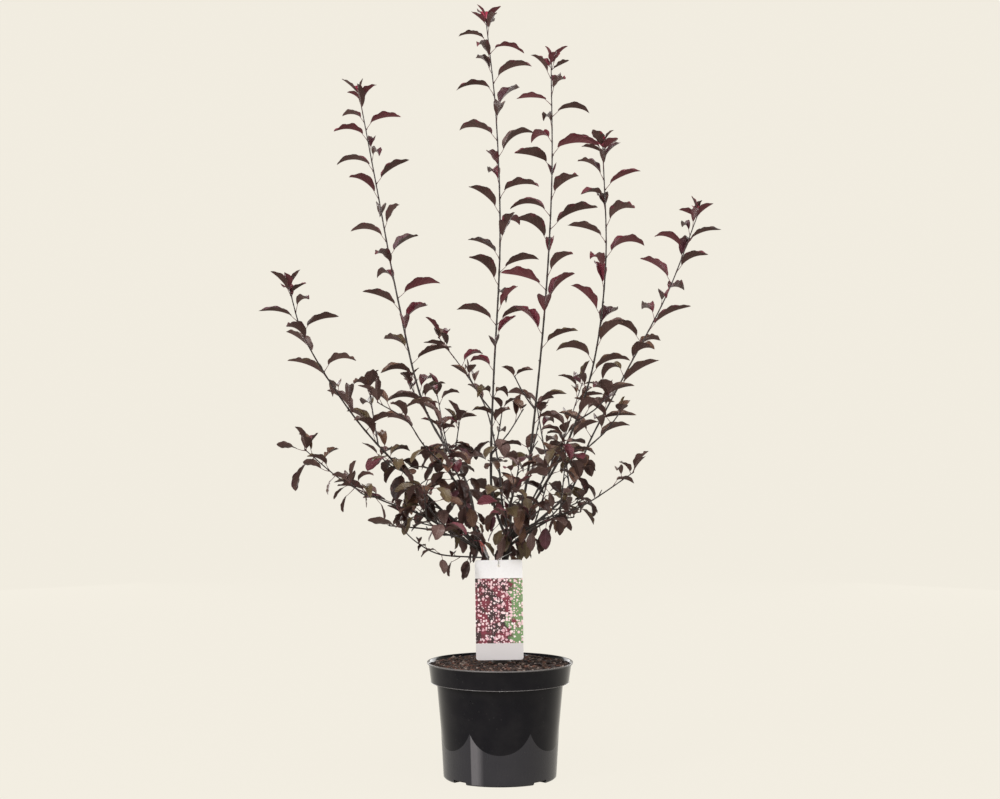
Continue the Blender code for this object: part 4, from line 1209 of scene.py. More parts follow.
def make_pot():
    """The pot with its arched foot, rim band, lip and drain slots."""
    split = (FOOT_VALLEY + FOOT_PEAK) / 2
    # The points of the outer wall wait far out, at this radius, until they are set on its outline
    marker = 2 * RIM_RADIUS
    lip_base = POT_HEIGHT - LIP_HEIGHT
    foot_rows = [(marker, BOTTOM_EDGE + (split - BOTTOM_EDGE) * row / FOOT_ROWS)
                 for row in range(FOOT_ROWS + 1)]
    cone_rows = [(marker, split + (BAND_BASE - split) * row / CONE_ROWS) for row in range(1, CONE_ROWS + 1)]
    profile = [(0, 0), (FOOT_RADIUS - BOTTOM_EDGE, 0)] + foot_rows + cone_rows
    profile += [(BAND_BASE_RADIUS, BAND_BASE), (BAND_BASE_RADIUS, BAND_BASE + BAND_HIGHLIGHT),
                (BAND_TOP_RADIUS, lip_base), (RIM_RADIUS, lip_base + LIP_EDGE),
                (RIM_RADIUS, POT_HEIGHT - LIP_HIGHLIGHT_AND_DUST), (RIM_RADIUS, POT_HEIGHT)] + pot_inside() + [(0, FLOOR)]
    model = spun(profile, POT_STEPS)
    for face in model.faces:
        heights = [corner.co.z for corner in face.verts]
        radii = [corner.co.xy.length for corner in face.verts]
        face.smooth = True
        # Faces of the foot take the second finish. Its paler colour is partly dust and partly a painted
        # reflection of the floor
        face.material_index = int(min(radii) > RIM_RADIUS * 1.5 and max(heights) < split + HAIR)
        # The strips at the band's base and the lip's top take the third finish: a painted highlight, with
        # dust on the lip
        on_band = min(heights) > BAND_BASE - HAIR and max(heights) < BAND_BASE + BAND_HIGHLIGHT + HAIR
        on_lip = min(heights) > POT_HEIGHT - LIP_HIGHLIGHT_AND_DUST - HAIR
        if (on_band and BAND_BASE_RADIUS - HAIR < min(radii) < RIM_RADIUS) or on_lip:
            face.material_index = 2
    for corner in model.verts:
        if corner.co.xy.length < RIM_RADIUS * 1.5:
            continue
        angle = angle_from_front(corner.co)
        arch = arch_height(angle)
        if corner.co.z <= split:
            share = (corner.co.z - BOTTOM_EDGE) / (split - BOTTOM_EDGE)
            height = BOTTOM_EDGE + share * (arch - BOTTOM_EDGE)
        else:
            height = arch + (corner.co.z - split) / (BAND_BASE - split) * (BAND_BASE - arch)
        reach = foot_radius(height)(angle)
        corner.co = Vector((reach * math.sin(angle), -reach * math.cos(angle), height))
    sharp = [edge for edge in model.edges if edge.is_manifold and edge.calc_face_angle() > math.radians(35)]
    bmesh.ops.bevel(model, geom=sharp, offset=POT_BEVEL, offset_type="OFFSET", affect="EDGES", segments=3,
                    profile=0.5, material=-1, clamp_overlap=True)
    mesh = mesh_of(model, "pot_shell")

    def cut_slots(thing):
        for number in range(SLOT_COUNT):
            cutter = slot_cutter(number)
            cut = thing.modifiers.new(cutter.name, "BOOLEAN")
            cut.operation = "DIFFERENCE"
            cut.object = cutter

    mesh = with_modifiers(mesh, "pot_blank", cut_slots)
    for thing in [thing for thing in bpy.data.objects if thing.name.startswith("slot_cutter")]:
        bpy.data.objects.remove(thing)
    mesh.set_sharp_from_angle(angle=math.radians(30))
    # Moulded plastic: a deep black with a soft mirror, duller on the handled foot and paler there from dust
    # and painted floor reflection; a painted highlight, with dust, at the edges
    upper = pot_finish("black polypropylene", "0B0A10", "4A4746", 0.10, 0.15, 0.22)
    # The foot's paler colour is partly dust and partly a painted reflection of the pale floor in its facets
    foot = pot_finish("scuffed black polypropylene", "212026", "504D4C", 0.26, 0.34, 0.15)
    # A painted reflection of the left softbox: a pale upright streak on the foot
    paint_reflection_streak(foot.node_tree, foot.node_tree.nodes["Principled BSDF"])
    # Painted highlight along the band's base and the lip's top, with dust on the lip
    edges = pot_finish("rubbed polypropylene edge", EDGE_HIGHLIGHT_AND_DUST_COLOUR, "8A8580", 0.30, 0.35, 0.30)
    keep_piece("pot_shell", mesh, [upper, foot, edges], ["pot"])


def slot_cutter(number):
    """A box that cuts one drain slot."""
    model = bmesh.new()
    bmesh.ops.create_cube(model, size=1.0)
    bmesh.ops.scale(model, verts=model.verts, vec=(SLOT_DEPTH * 2, SLOT_WIDTH, SLOT_HEIGHT * 2))
    bmesh.ops.translate(model, verts=model.verts, vec=(FOOT_RADIUS, 0, 0))
    turn = Matrix.Rotation((number + 0.5) * math.tau / SLOT_COUNT, 3, "Z")
    bmesh.ops.rotate(model, verts=model.verts, cent=(0, 0, 0), matrix=turn)
    cutter = bpy.data.objects.new(f"slot_cutter_{number}", mesh_of(model, f"slot_cutter_{number}"))
    bpy.context.scene.collection.objects.link(cutter)
    cutter.hide_render = True
    return cutter


def soil_height(radius):
    """The soil's plain height at a distance from the pot's axis."""
    drop = max(0.0, radius - SOIL_FLAT_RADIUS) / (RIM_RADIUS - SOIL_FLAT_RADIUS)
    return SOIL_TOP - SOIL_EDGE_DROP * drop ** 2


def crumb_relief(point):
    """How far a crumb stands out of the soil at a place."""
    return sum(depth * noise.noise(point * scale + Vector(shift)) for scale, depth, shift in CRUMB_RELIEF)


def make_soil():
    """The soil's body with a crumbly top, and the chips of bark and peat that lie on it."""
    clear = GAP * 1.3
    outline = [(radius - clear, height + clear) for radius, height in reversed(pot_inside()[1:])]
    (low_radius, low), (top_radius, top) = outline[-2:]
    edge_height = SOIL_TOP - SOIL_EDGE_DROP
    edge_radius = low_radius + (top_radius - low_radius) * (edge_height - low) / (top - low)
    outline[-1] = (edge_radius, edge_height)
    outline += [(edge_radius * (1 - row / SOIL_ROWS), edge_height) for row in range(1, SOIL_ROWS + 1)]
    model = spun([(0, outline[0][1])] + outline, SOIL_STEPS)
    for corner in model.verts:
        radius = corner.co.xy.length
        if corner.co.z > edge_height - HAIR and radius < edge_radius - 0.001:
            calm = min(1.0, (edge_radius - radius) / CALM_EDGE)
            corner.co.z = soil_height(radius) + crumb_relief(corner.co) * calm
    for face in model.faces:
        face.smooth = True
    # Peat and bark compost: matt, nearly black where moist, with brown fibres that catch the light
    compost = soil_finish("moist potting soil", "1F1512", "463530")
    keep_piece("soil_bed", mesh_of(model, "soil_bed"), [compost], ["soil"])
    make_chips(edge_radius)


def make_chips(edge_radius):
    """Angular chips of bark and peat, strewn over the soil."""
    rng = random.Random(SEED)
    ball = bmesh.new()
    bmesh.ops.create_icosphere(ball, subdivisions=1, radius=1.0)
    corners = [corner.co.copy() for corner in ball.verts]
    sides = [tuple(corner.index for corner in face.verts) for face in ball.faces]
    ball.free()
    points = []
    faces = []
    tints = []
    for _ in range(CHIP_COUNT):
        reach = (edge_radius - CALM_EDGE) * math.sqrt(rng.random())
        angle = rng.uniform(0, math.tau)
        half = rng.uniform(*CHIP_SIZE) * (BIG_CHIPS[1] if rng.random() < BIG_CHIPS[0] else 1.0)
        form = Matrix.Diagonal((half, half * rng.uniform(*CHIP_WIDTH), half * rng.uniform(*CHIP_DEPTH)))
        turn = Matrix.Rotation(rng.uniform(0, math.tau), 3, "Z")
        turn = turn @ Matrix.Rotation(rng.uniform(*CHIP_LEAN), 3, "X")
        place = Vector((reach * math.cos(angle), reach * math.sin(angle), 0))
        relief = crumb_relief(place + Vector((0, 0, SOIL_TOP)))
        place.z = soil_height(reach) + relief + half * CHIP_LIFT
        first = len(points)
        points += [place + turn @ (form @ (corner * rng.uniform(*CHIP_CORNERS))) for corner in corners]
        faces += [tuple(first + corner for corner in side) for side in sides]
        tints += [rng.choices(range(len(CHIP_TINTS)), CHIP_SHARES)[0]] * len(sides)
    mesh = bpy.data.meshes.new("bark_chips")
    mesh.from_pydata([tuple(point) for point in points], [], faces)
    mesh.polygons.foreach_set("material_index", tints)
    # Shredded bark: matt and fibrous, from damp dark brown to weathered grey
    finishes = [soil_finish(f"{word} bark chip", dark, light) for word, dark, light in CHIP_TINTS]
    keep_piece("bark_chips", mesh, finishes)


def make_label():
    """The label's card with its hole, printed field and plain foot strip."""
    place = Matrix.Translation(CARD_TOP) @ Matrix.Rotation(CARD_TILT, 4, "Y")
    model = bmesh.new()
    bmesh.ops.create_cube(model, size=1.0)
    bmesh.ops.scale(model, verts=model.verts, vec=(CARD_WIDTH, CARD_THICKNESS, CARD_HEIGHT))
    bmesh.ops.translate(model, verts=model.verts, vec=(0, 0, -CARD_HEIGHT / 2))
    corners = [edge for edge in model.edges
               if abs(edge.verts[0].co.y - edge.verts[1].co.y) > CARD_THICKNESS / 2]
    bmesh.ops.bevel(model, geom=corners, offset=CARD_CORNER, offset_type="OFFSET", affect="EDGES",
                    segments=6, profile=0.5, material=-1)
    for level in (PRINT_TOP, PRINT_FOOT):
        bmesh.ops.bisect_plane(model, geom=model.verts[:] + model.edges[:] + model.faces[:],
                               plane_co=(0, 0, -level), plane_no=(0, 0, 1), dist=1e-6)
    for face in model.faces:
        middle = face.calc_center_median()
        if face.normal.y < -0.9 and -PRINT_FOOT < middle.z < -PRINT_TOP:
            face.material_index = 1
        elif face.normal.y < -0.9 and middle.z < -PRINT_FOOT:
            face.material_index = 2
    bmesh.ops.transform(model, matrix=place, verts=model.verts)
    punch = bmesh.new()
    bmesh.ops.create_cone(punch, cap_ends=True, segments=24, radius1=HOLE_RADIUS, radius2=HOLE_RADIUS,
                          depth=0.01)
    bmesh.ops.rotate(punch, verts=punch.verts, cent=(0, 0, 0),
                     matrix=Matrix.Rotation(math.radians(90), 3, "X"))
    bmesh.ops.translate(punch, verts=punch.verts, vec=(0, 0, -HOLE_DROP))
    bmesh.ops.transform(punch, matrix=place, verts=punch.verts)
    cutter = bpy.data.objects.new("hole_punch", mesh_of(punch, "hole_punch"))
    bpy.context.scene.collection.objects.link(cutter)

    def cut_hole(thing):
        cut = thing.modifiers.new("hole", "BOOLEAN")
        cut.operation = "DIFFERENCE"
        cut.object = cutter

    mesh = with_modifiers(mesh_of(model, "card_blank"), "card_blank", cut_hole)
    bpy.data.objects.remove(cutter)
    # Coated plastic card: a bright, slightly glossy white, greyer below its printed field
    finishes = [card_finish("white plastic card", "E4E3E7"), print_finish(),
                card_finish("greyed foot strip", "C8C4C6")]
    keep_piece("label_face", mesh, finishes, ["label_card"])
    points, faces = closed_tube(tie_path(), TIE_RADIUS, *FINE_TIE)
    strap = bpy.data.meshes.new("label_strap")
    strap.from_pydata([tuple(point) for point in points], [], faces)
    strap.shade_smooth()
    # Drawn nylon: thin, pale and half clear, with a sharp shine
    nylon = plain_finish("clear nylon tie", "C9C6C2", 0.25, Transmission_Weight=0.4)[0]
    keep_piece("label_strap", strap, [nylon], ["label_tie"])


class Heap:
    """Points and faces of many small shapes that end as one mesh."""

    def __init__(self):
        self.points = []
        self.faces = []
        self.slots = []
        self.places = []

    def add(self, points, faces, slots, places=None):
        """Adds one shape with a material slot for each face, and a place on the leaf for each point."""
        first = len(self.points)
        self.points += [tuple(point) for point in points]
        self.faces += [tuple(first + corner for corner in face) for face in faces]
        self.slots += slots if isinstance(slots, list) else [slots] * len(faces)
        self.places += places or [(0.5, 0.0)] * len(points)

    def split(self, most):
        """The heap as several of about the same size, each of fewer triangles than a limit."""
        total = sum(len(face) - 2 for face in self.faces)
        share = total / math.ceil(total / most)
        parts = [Heap()]
        count = 0
        highest = -1
        renamed = {}
        for face, slot in zip(self.faces, self.slots):
            if count > share * len(parts) and min(face) > highest:
                parts.append(Heap())
                renamed = {}
            highest = max(highest, *face)
            part = parts[-1]
            for corner in face:
                if corner not in renamed:
                    renamed[corner] = len(part.points)
                    part.points.append(self.points[corner])
                    part.places.append(self.places[corner])
            part.faces.append(tuple(renamed[corner] for corner in face))
            part.slots.append(slot)
            count += len(face) - 2
        return parts

    def mesh(self, name):
        """The finished mesh with its leaf coordinates."""
        mesh = bpy.data.meshes.new(name)
        mesh.from_pydata(self.points, [], self.faces)
        mesh.polygons.foreach_set("material_index", self.slots)
        layer = mesh.uv_layers.new(name="leaf")
        spots = [value for loop in mesh.loops for value in self.places[loop.vertex_index]]
        layer.data.foreach_set("uv", spots)
        mesh.shade_smooth()
        mesh.set_sharp_from_angle(angle=math.radians(50))
        return mesh


def blade_width(share, outline):
    """The blade's half width at a share of its length, as a part of the widest."""
    skew, fullness, taper = outline
    return max(0.0, math.sin(math.pi * share ** skew)) ** fullness * (1 - taper * share ** 4)


def leaf_blade(leaf, form, rng):
    """A blade of two skins in its own outline: points, faces, whether each is on top, and places."""
    count, outline = LEAF_FORMS[form]
    frames = midrib(leaf, count, math.radians(rng.uniform(*TIP_FLICK)))
    curl = rng.uniform(0, math.tau)
    ripple = rng.uniform(*LEAF_RIPPLE) * leaf.length
    bite = rng.uniform(*BITE_PLACE) if rng.random() < BITTEN_SHARE else None
    bitten_side = rng.choice((-1, 1))
    points = []
    places = []
    rows = []
    for row, (middle, _, side, normal) in enumerate(frames[:-1]):
        share = row / count
        full = leaf.half_width * max(NARROWEST, blade_width(share, outline)) * (1 - TOOTH_DEPTH * (row % 2))
        upper = []
        lower = []
        for column in LEAF_COLUMNS:
            reach = abs(column)
            width = full
            if bite and column * bitten_side > 0:
                width = full * (1 - BITE_DEPTH * max(0.0, 1 - abs(share - bite) / BITE_LENGTH))
            near = min(reach, 0.5) * width
            far = max(0.0, reach - 0.5) * width
            steep, flat = (leaf.fold * part for part in LEAF_FOLDS)
            out = near * math.cos(steep) + far * math.cos(flat)
            lift = near * math.sin(steep) + far * math.sin(flat)
            phase = LEAF_WAVES * math.tau * share + curl + (WAVE_SHIFT if column > 0 else 0.0)
            wave = ripple * reach ** 2 * math.sin(phase)
            spot = middle + side * out * math.copysign(1, column) + normal * (lift + wave)
            thick = normal * LEAF_THICKNESS / 2 * (1 - reach)
            upper.append(len(points))
            points.append(spot + thick)
            places.append((0.5 + column / 2, share))
            if reach < 1:
                lower.append(len(points))
                points.append(spot - thick)
                places.append((0.5 + column / 2, share))
            else:
                lower.append(upper[-1])
        rows.append((upper, lower))
    tip = len(points)
    points.append(frames[-1][0])
    places.append((0.5, 1.0))
    faces = []
    tops = []
    last = len(LEAF_COLUMNS) - 1
    for (upper, lower), (upper_after, lower_after) in zip(rows, rows[1:]):
        for column in range(last):
            faces.append((upper[column], upper[column + 1], upper_after[column + 1], upper_after[column]))
            faces.append((lower[column + 1], lower[column], lower_after[column], lower_after[column + 1]))
            tops += [True, False]
    upper, lower = rows[-1]
    for column in range(last):
        faces += [(upper[column], upper[column + 1], tip), (lower[column + 1], lower[column], tip)]
        tops += [True, False]
    upper, lower = rows[0]
    faces.append(tuple(reversed(upper)) + tuple(lower[1:-1]))
    tops.append(False)
    return points, faces, tops, places


def leaf_kind(stage, rng):
    """The tint of a leaf's upper side, dealt out by its stage of growth."""
    kinds = TINT_SHARES[stage]
    return rng.choices(list(kinds), list(kinds.values()))[0]


def clamp(value):
    """A value held between 0 and 1."""
    return max(0.0, min(1.0, value))


def foot_share(spot):
    """How far a place is into the crown's foot: 1 round the fork, 0 high up or far out."""
    low = (SPRAY_REACH - spot.z) / (SPRAY_REACH - FORK.z)
    inner = (SPRAY_OUT - spot.xy.length) / SPRAY_FADE
    return clamp(low) * clamp(inner)


def free_share(spot):
    """How free of its neighbours a shoot is at a place: 0 where the shoots crowd, 1 high up or far out."""
    low, high = CROWDED_HEIGHTS
    near, far = CROWDED_REACH
    return clamp((spot.z - low) / (high - low) + (spot.xy.length - near) / (far - near))


def whip_leaf(leaf, free, rng):
    """A leaf of a long shoot, smaller where the shoots crowd, tilted and arched a little its own way."""
    scale = WHIP_SCALES[0] + (WHIP_SCALES[1] - WHIP_SCALES[0]) * free
    start = leaf.start + math.radians(rng.uniform(*WHIP_TILT))
    return leaf._replace(length=leaf.length * scale, start=start,
                         end=start + (leaf.end - leaf.start) * rng.uniform(*WHIP_ARCH),
                         half_width=leaf.half_width * scale * rng.uniform(*WHIP_WIDTH))


def add_leaf(heap, leaf, form, kind, rng):
    """One leaf on its stalk."""
    points, faces, tops, places = leaf_blade(leaf, form, rng)
    tint = LEAF_SLOTS.index(kind)
    under = LEAF_SLOTS.index("under_red" if kind in ("crimson", "burgundy", "salmon") else "under")
    heap.add(points, faces, [tint if top else under for top in tops], places)
    frames = midrib(leaf, 12)
    foot = frames[0][0]
    sag = Vector((0, 0, -STALK_SAG * leaf.petiole))
    path = [leaf.base, leaf.base.lerp(foot, 0.5) + sag, foot.lerp(frames[1][0], 0.6)]
    points, faces = tube(path, STALK_RADII, STALK_SIDES)
    heap.add(points, faces, LEAF_SLOTS.index("stalk"))


def nearest_on(path, point):
    """The point of a path nearest to a point, and its distance along the path."""
    best = None
    passed = 0.0
    for start, end in zip(path, path[1:]):
        run = end - start
        share = clamp((point - start).dot(run) / run.length_squared)
        spot = start.lerp(end, share)
        gap = (point - spot).length
        if best is None or gap < best[0]:
            best = (gap, spot, passed + share * run.length)
        passed += run.length
    return best[1], best[2]


def knuckled(path, radii, nodes, rng):
    """The limb's radii with a swelling at each leaf node and the unevenness of real wood."""
    grown = []
    for length, radius in zip(path_lengths(path), radii):
        swell = sum(max(0.0, 1 - abs(length - node) / NODE_REACH) for node in nodes)
        grown.append(radius * (1 + NODE_SWELL * min(1.0, swell) + rng.uniform(-WOOD_UNEVEN, WOOD_UNEVEN)))
    return grown


def add_limb(heap, path, radii, nodes, rng):
    """A limb as a smooth knuckled tube, young bark where it is thin."""
    radii = knuckled(path, radii, nodes, rng)
    points, faces = tube(path, radii, LIMB_SIDES)
    slots = [0]
    for row in range(len(path) - 1):
        slots += [0 if radii[row] > YOUNG_BARK_RADIUS else 1] * LIMB_SIDES
    heap.add(points, faces, slots + [1])


def add_bud(heap, point, direction, size):
    """A pointed winter bud in a leaf's axil."""
    across = direction.orthogonal().normalized()
    along_side = direction.cross(across)
    ring = [across, along_side, -across, -along_side]
    points = [point - direction * size * 0.2]
    for height, width in ((0.35, 0.42), (0.8, 0.3)):
        points += [point + direction * size * height + way * size * width for way in ring]
    points.append(point + direction * size * 1.4)
    faces = [(0, 1 + (side + 1) % 4, 1 + side) for side in range(4)]
    for side in range(4):
        after = (side + 1) % 4
        faces.append((1 + side, 1 + after, 5 + after, 5 + side))
        faces.append((5 + side, 5 + after, 9))
    heap.add(points, faces, 1)


def turned(heading, degrees):
    """A level direction turned about the vertical."""
    return Quaternion(Vector((0, 0, 1)), math.radians(degrees)) @ heading


def column_at(spot):
    """Which upright column of the crown a place is in, from the left to the right."""
    return sum(spot.x > edge for edge in SPRAY_COLUMNS)


def spray_count(spot, rng):
    """How many leaves a spur has at a place in the crown's foot."""
    means = next(means for height, means in SPRAY_FULLNESS if spot.z < height)
    return int(means[column_at(spot)] + rng.random())


def old_leaf(base, heading, length, start, ranges, rng):
    """A short round leaf, held within the given ranges."""
    stalk, rise, width, fold, bend, roll = [rng.uniform(*limits) for limits in ranges]
    return Leaf(base=base, heading=heading, petiole=PETIOLE_LENGTH * stalk, rise=math.radians(rise),
                length=length, half_width=length * width, fold=math.radians(fold), start=start,
                end=start - math.radians(bend), roll=math.radians(roll))


def spray_of(leaf, age, rng):
    """The spur and the short round leaves that stand in for one old leaf: (spur, leaves)."""
    up = Vector((0, 0, 1))
    way = (leaf.heading * math.cos(leaf.rise) + up * math.sin(leaf.rise)).normalized()
    end = leaf.base + way * rng.uniform(*SPUR_LENGTH)
    bend = leaf.base.lerp(end, 0.5) + up * SPUR_LIFT
    count = spray_count(leaf.base, rng)
    size = SPRAY_SIZES[0] + (SPRAY_SIZES[1] - SPRAY_SIZES[0]) * age
    leaves = []
    for number in range(count):
        start = math.radians(rng.uniform(*SPRAY_START) - SPRAY_DROOP * age)
        length = BLADE_LENGTH * size * rng.uniform(*SPRAY_LENGTH)
        heading = turned(leaf.heading, number * 360 / count + rng.uniform(*SPRAY_TURN) + 20)
        base = end.lerp(leaf.base, 0.3 * (number % 2))
        leaves.append(old_leaf(base, heading, length, start, SPRAY_HELD, rng))
    return [leaf.base, bend, end], leaves


def tip_leaves(path, size, count, rng):
    """The small upright leaves that have just opened round a growing tip."""
    leaves = []
    turn = rng.uniform(0, 360)
    whole = path_lengths(path)[-1]
    for number in range(count):
        base = along(path, whole - TIP_LEAF_STEP * (count - 1 - number))[0]
        length = BLADE_LENGTH * size * TIP_LEAF_SIZE * rng.uniform(*TIP_LEAF_SIZES)
        start = math.radians(rng.uniform(*TIP_LEAF_START) + 4 * number)
        leaves.append(Leaf(
            base=base, heading=turned(Vector((1, 0, 0)), turn + number * math.degrees(LEAF_TURN)),
            petiole=PETIOLE_LENGTH * TIP_LEAF_STALK, rise=start, length=length,
            half_width=length * rng.uniform(*TIP_LEAF_WIDTH), fold=math.radians(rng.uniform(*TIP_LEAF_FOLD)),
            start=start, end=start - math.radians(rng.uniform(*TIP_LEAF_BEND)),
            roll=math.radians(rng.uniform(*TIP_LEAF_ROLL))))
    return leaves


def in_card(leaf):
    """Whether a leaf comes into the space of the label's card."""
    half = CARD_WIDTH / 2 + 0.002
    for point, _, side, _ in midrib(leaf, 6):
        near = abs(point.y - CARD_TOP.y) < 0.003 + abs(side.y) * leaf.half_width
        level = abs(point.x - CARD_TOP.x) < half + abs(side.x) * leaf.half_width
        if near and level and point.z < CARD_TOP.z:
            return True
    return False


def bark_trunk(shoots):
    """The trunk, its arms and the roots of its boughs as one skin of bark with relief."""
    foot = TRUNK_ROOT + Vector((0, 0, GAP))
    middle = foot.lerp(FORK, 0.5) + TRUNK_BOW
    path = smooth_path((foot, middle, FORK), BARK_STEP)
    radii = []
    for distance in path_lengths(path):
        flare = max(0.0, 1 - distance / FLARE_HEIGHT) ** 2
        radii.append(TRUNK_RADIUS - TRUNK_TAPER * distance + (FLARE_RADIUS - TRUNK_RADIUS) * flare)
    shapes = [tube(path, radii, BARK_SIDES["stem"], (Vector((0, 0, 1)), None))]
    for arm, (end, radius) in ARMS.items():
        sunk = FORK - Vector((0, 0, TRUNK_RADIUS * 1.6))
        shares = (0.0, 0.25, 0.5, 0.75, 1.0)
        centres = [sunk] + [arm_place(arm, share)[0] for share in shares[1:]]
        sizes = [radius * ARM_ROOT_SCALE] + [arm_place(arm, share)[1] for share in shares[1:]]
        centres.append(end + (end - FORK).normalized() * radius * 0.5)
        sizes.append(radius * 0.4)
        shapes.append(tube(centres, sizes, BARK_SIDES["arm"]))
    for shoot in shoots:
        stub = shoot_pieces(shoot)[0]
        shapes.append(tube(stub.path, stub.radii, BARK_SIDES["stub"]))
    heap = Heap()
    for points, faces in shapes:
        heap.add(points, faces, 0)
    mesh = with_modifiers(heap.mesh("trunk_blank"), "trunk_blank", remeshed)
    model = bmesh.new()
    model.from_mesh(mesh)
    for _ in range(BARK_SMOOTHINGS):
        bmesh.ops.smooth_vert(model, verts=model.verts, factor=0.5, use_axis_x=True, use_axis_y=True,
                              use_axis_z=True)
    model.normal_update()
    for corner in model.verts:
        if corner.co.z > foot.z + BARK_FOOT:
            place = corner.co
            spots = [Vector((place.x * across, place.y * across, place.z * upward))
                     for across, upward, _ in BARK_RELIEF]
            depths = [depth for _, _, depth in BARK_RELIEF]
            relief = sum(depth * noise.noise(spot) for depth, spot in zip(depths, spots))
            corner.co += corner.normal * relief
        else:
            corner.co.z = max(corner.co.z, foot.z)
    for face in model.faces:
        face.smooth = True
    return mesh_of(model, "trunk_bark")


def remeshed(thing):
    """Gives an object one even skin over its overlapping shapes."""
    skin = thing.modifiers.new("skin", "REMESH")
    skin.mode = "VOXEL"
    skin.voxel_size = BARK_VOXEL


def hanging_leaves(path, distance, count, rng):
    """A few old leaves that hang from a limb, a distance from its start, or from its tip if negative."""
    spot = along(path, distance % path_lengths(path)[-1])[0]
    leaves = []
    for number in range(count):
        length = BLADE_LENGTH * rng.uniform(*HANGING_SIZE)
        start = math.radians(rng.uniform(*HANGING_START))
        heading = turned(Vector((1, 0, 0)), number * 360 / count + rng.uniform(0, 360))
        leaves.append(old_leaf(spot, heading, length, start, HANGING_HELD, rng))
    return leaves


def old_spurs(shoot, stem, rng):
    """Where short old spurs carry leaves on a shoot's bare stretch: (distance, number of leaves)."""
    spurs = [(distance, count) for name, distance, count in HANGING_SPURS if name == shoot.name]
    place = STUB_LENGTH * 0.6 + rng.uniform(*BOUGH_SPUR_STEP) / 2
    while place < shoot.bare and shoot.name not in BARE_BOUGHS:
        spurs.append((place, spray_count(along(stem, place)[0], rng)))
        place += rng.uniform(*BOUGH_SPUR_STEP)
    return spurs


def dress_shoot(shoot, twigs, leaves, wood, whips, sprays, rng):
    """Adds one shoot's limbs, spurs, buds and leaves to the heaps."""
    stem = smooth_path((arm_place(shoot.arm, shoot.share)[0],) + shoot.points, LIMB_STEP)
    lengths = path_lengths(stem)
    slimmed = [radius * (1 - SLIMMED_SHARE * min(1.0, length / SLIMMED_LENGTH))
               for length, radius in zip(lengths, shoot_radii(stem, lengths[-1], 0.0, shoot.radius))]
    limbs = [(stem, slimmed)]
    for twig in twigs[1:]:
        path = smooth_path(twig.path, LIMB_STEP)
        whole = path_lengths(path)[-1]
        radii = [SIDE_TWIG_RADIUS + (TIP_RADIUS - SIDE_TWIG_RADIUS) * length / whole
                 for length in path_lengths(path)]
        limbs.append((path, radii))
    nodes = [[] for _ in limbs]
    for leaf in leaves:
        spots = [nearest_on(path, leaf.base) for path, _ in limbs]
        number = min(range(len(limbs)), key=lambda index: (spots[index][0] - leaf.base).length)
        spot, distance = spots[number]
        nodes[number].append(distance)
        age = foot_share(spot)
        bud_way = (leaf.heading * 0.5 + Vector((0, 0, 1))).normalized()
        add_bud(wood, spot + leaf.heading * BUD_OUT, bud_way, BUD_SIZE)
        leaf = leaf._replace(base=spot)
        if shoot.leaf_size < SLIM_SIZE:
            slim = leaf._replace(length=leaf.length * SLIM_SCALES[0],
                                 half_width=leaf.half_width * SLIM_SCALES[1])
            add_leaf(whips, slim, "pointed", leaf_kind("foot", rng), rng)
        elif age > SPRAY_AGE:
            spur, spray = spray_of(leaf, age, rng)
            points, faces = tube(spur, SPUR_RADII, STALK_SIDES)
            wood.add(points, faces, 1)
            kind = leaf_kind("foot", rng)
            for one in spray:
                if not in_card(one):
                    shade = kind if rng.random() < SAME_TINT_SHARE else leaf_kind("foot", rng)
                    add_leaf(sprays, one, "round", shade, rng)
        elif rng.random() > max(SHED_SHARE, THINNED_SHARES[column_at(spot)] * (1 - free_share(spot))):
            slim = whip_leaf(leaf, free_share(spot), rng)
            if stem[-1].z < YOUNG_HEIGHT and slim.length < GROWN_LENGTH:
                slim = slim._replace(length=GROWN_LENGTH, half_width=GROWN_LENGTH * GROWN_WIDTH)
            near_tip = number == 0 and stem[-1].z > YOUNG_HEIGHT and (stem[-1] - spot).length < RED_REACH
            stage = "tip" if near_tip else "whip" if spot.z > FADED_HEIGHT else "middle"
            add_leaf(whips, slim, "pointed", leaf_kind(stage, rng), rng)
            inner = PAIRED_HEIGHTS[0] < spot.z < PAIRED_HEIGHTS[1] and spot.xy.length < PAIRED_REACH
            if number == 0 and inner and rng.random() < PAIRED_SHARE:
                other = slim._replace(heading=turned(slim.heading, rng.uniform(120, 240)),
                                      length=slim.length * PAIRED_SCALE,
                                      half_width=slim.half_width * PAIRED_SCALE)
                add_leaf(whips, other, "pointed", leaf_kind(stage, rng), rng)
    for distance, count in old_spurs(shoot, stem, rng):
        for leaf in hanging_leaves(stem, distance, count, rng):
            if not in_card(leaf):
                add_leaf(sprays, leaf, "round", leaf_kind("foot", rng), rng)
    for number, ((path, radii), places) in enumerate(zip(limbs, nodes)):
        add_limb(wood, path, radii, places, rng)
        young = number == 0 and path[-1].z > YOUNG_HEIGHT
        kinds = BUD_TINTS if young else [leaf_kind("middle", rng) for _ in range(TWIG_TIP_LEAVES)]
        for leaf, kind in zip(tip_leaves(path, shoot.leaf_size, len(kinds), rng), kinds):
            add_leaf(whips, leaf, "pointed", kind, rng)
    for name, distance, degrees, rise, roll, length, form, kind in SINGLE_LEAVES:
        if name == shoot.name:
            start = math.radians(rise)
            leaf = hanging_leaves(stem, distance, 1, rng)[0]
            leaf = leaf._replace(heading=turned(Vector((0, -1, 0)), degrees), rise=start * SINGLE_STALK,
                                 length=length, half_width=length * SINGLE_WIDTH, start=start,
                                 end=start - math.radians(SINGLE_BEND), roll=math.radians(roll))
            add_leaf(sprays, leaf, form, kind, rng)


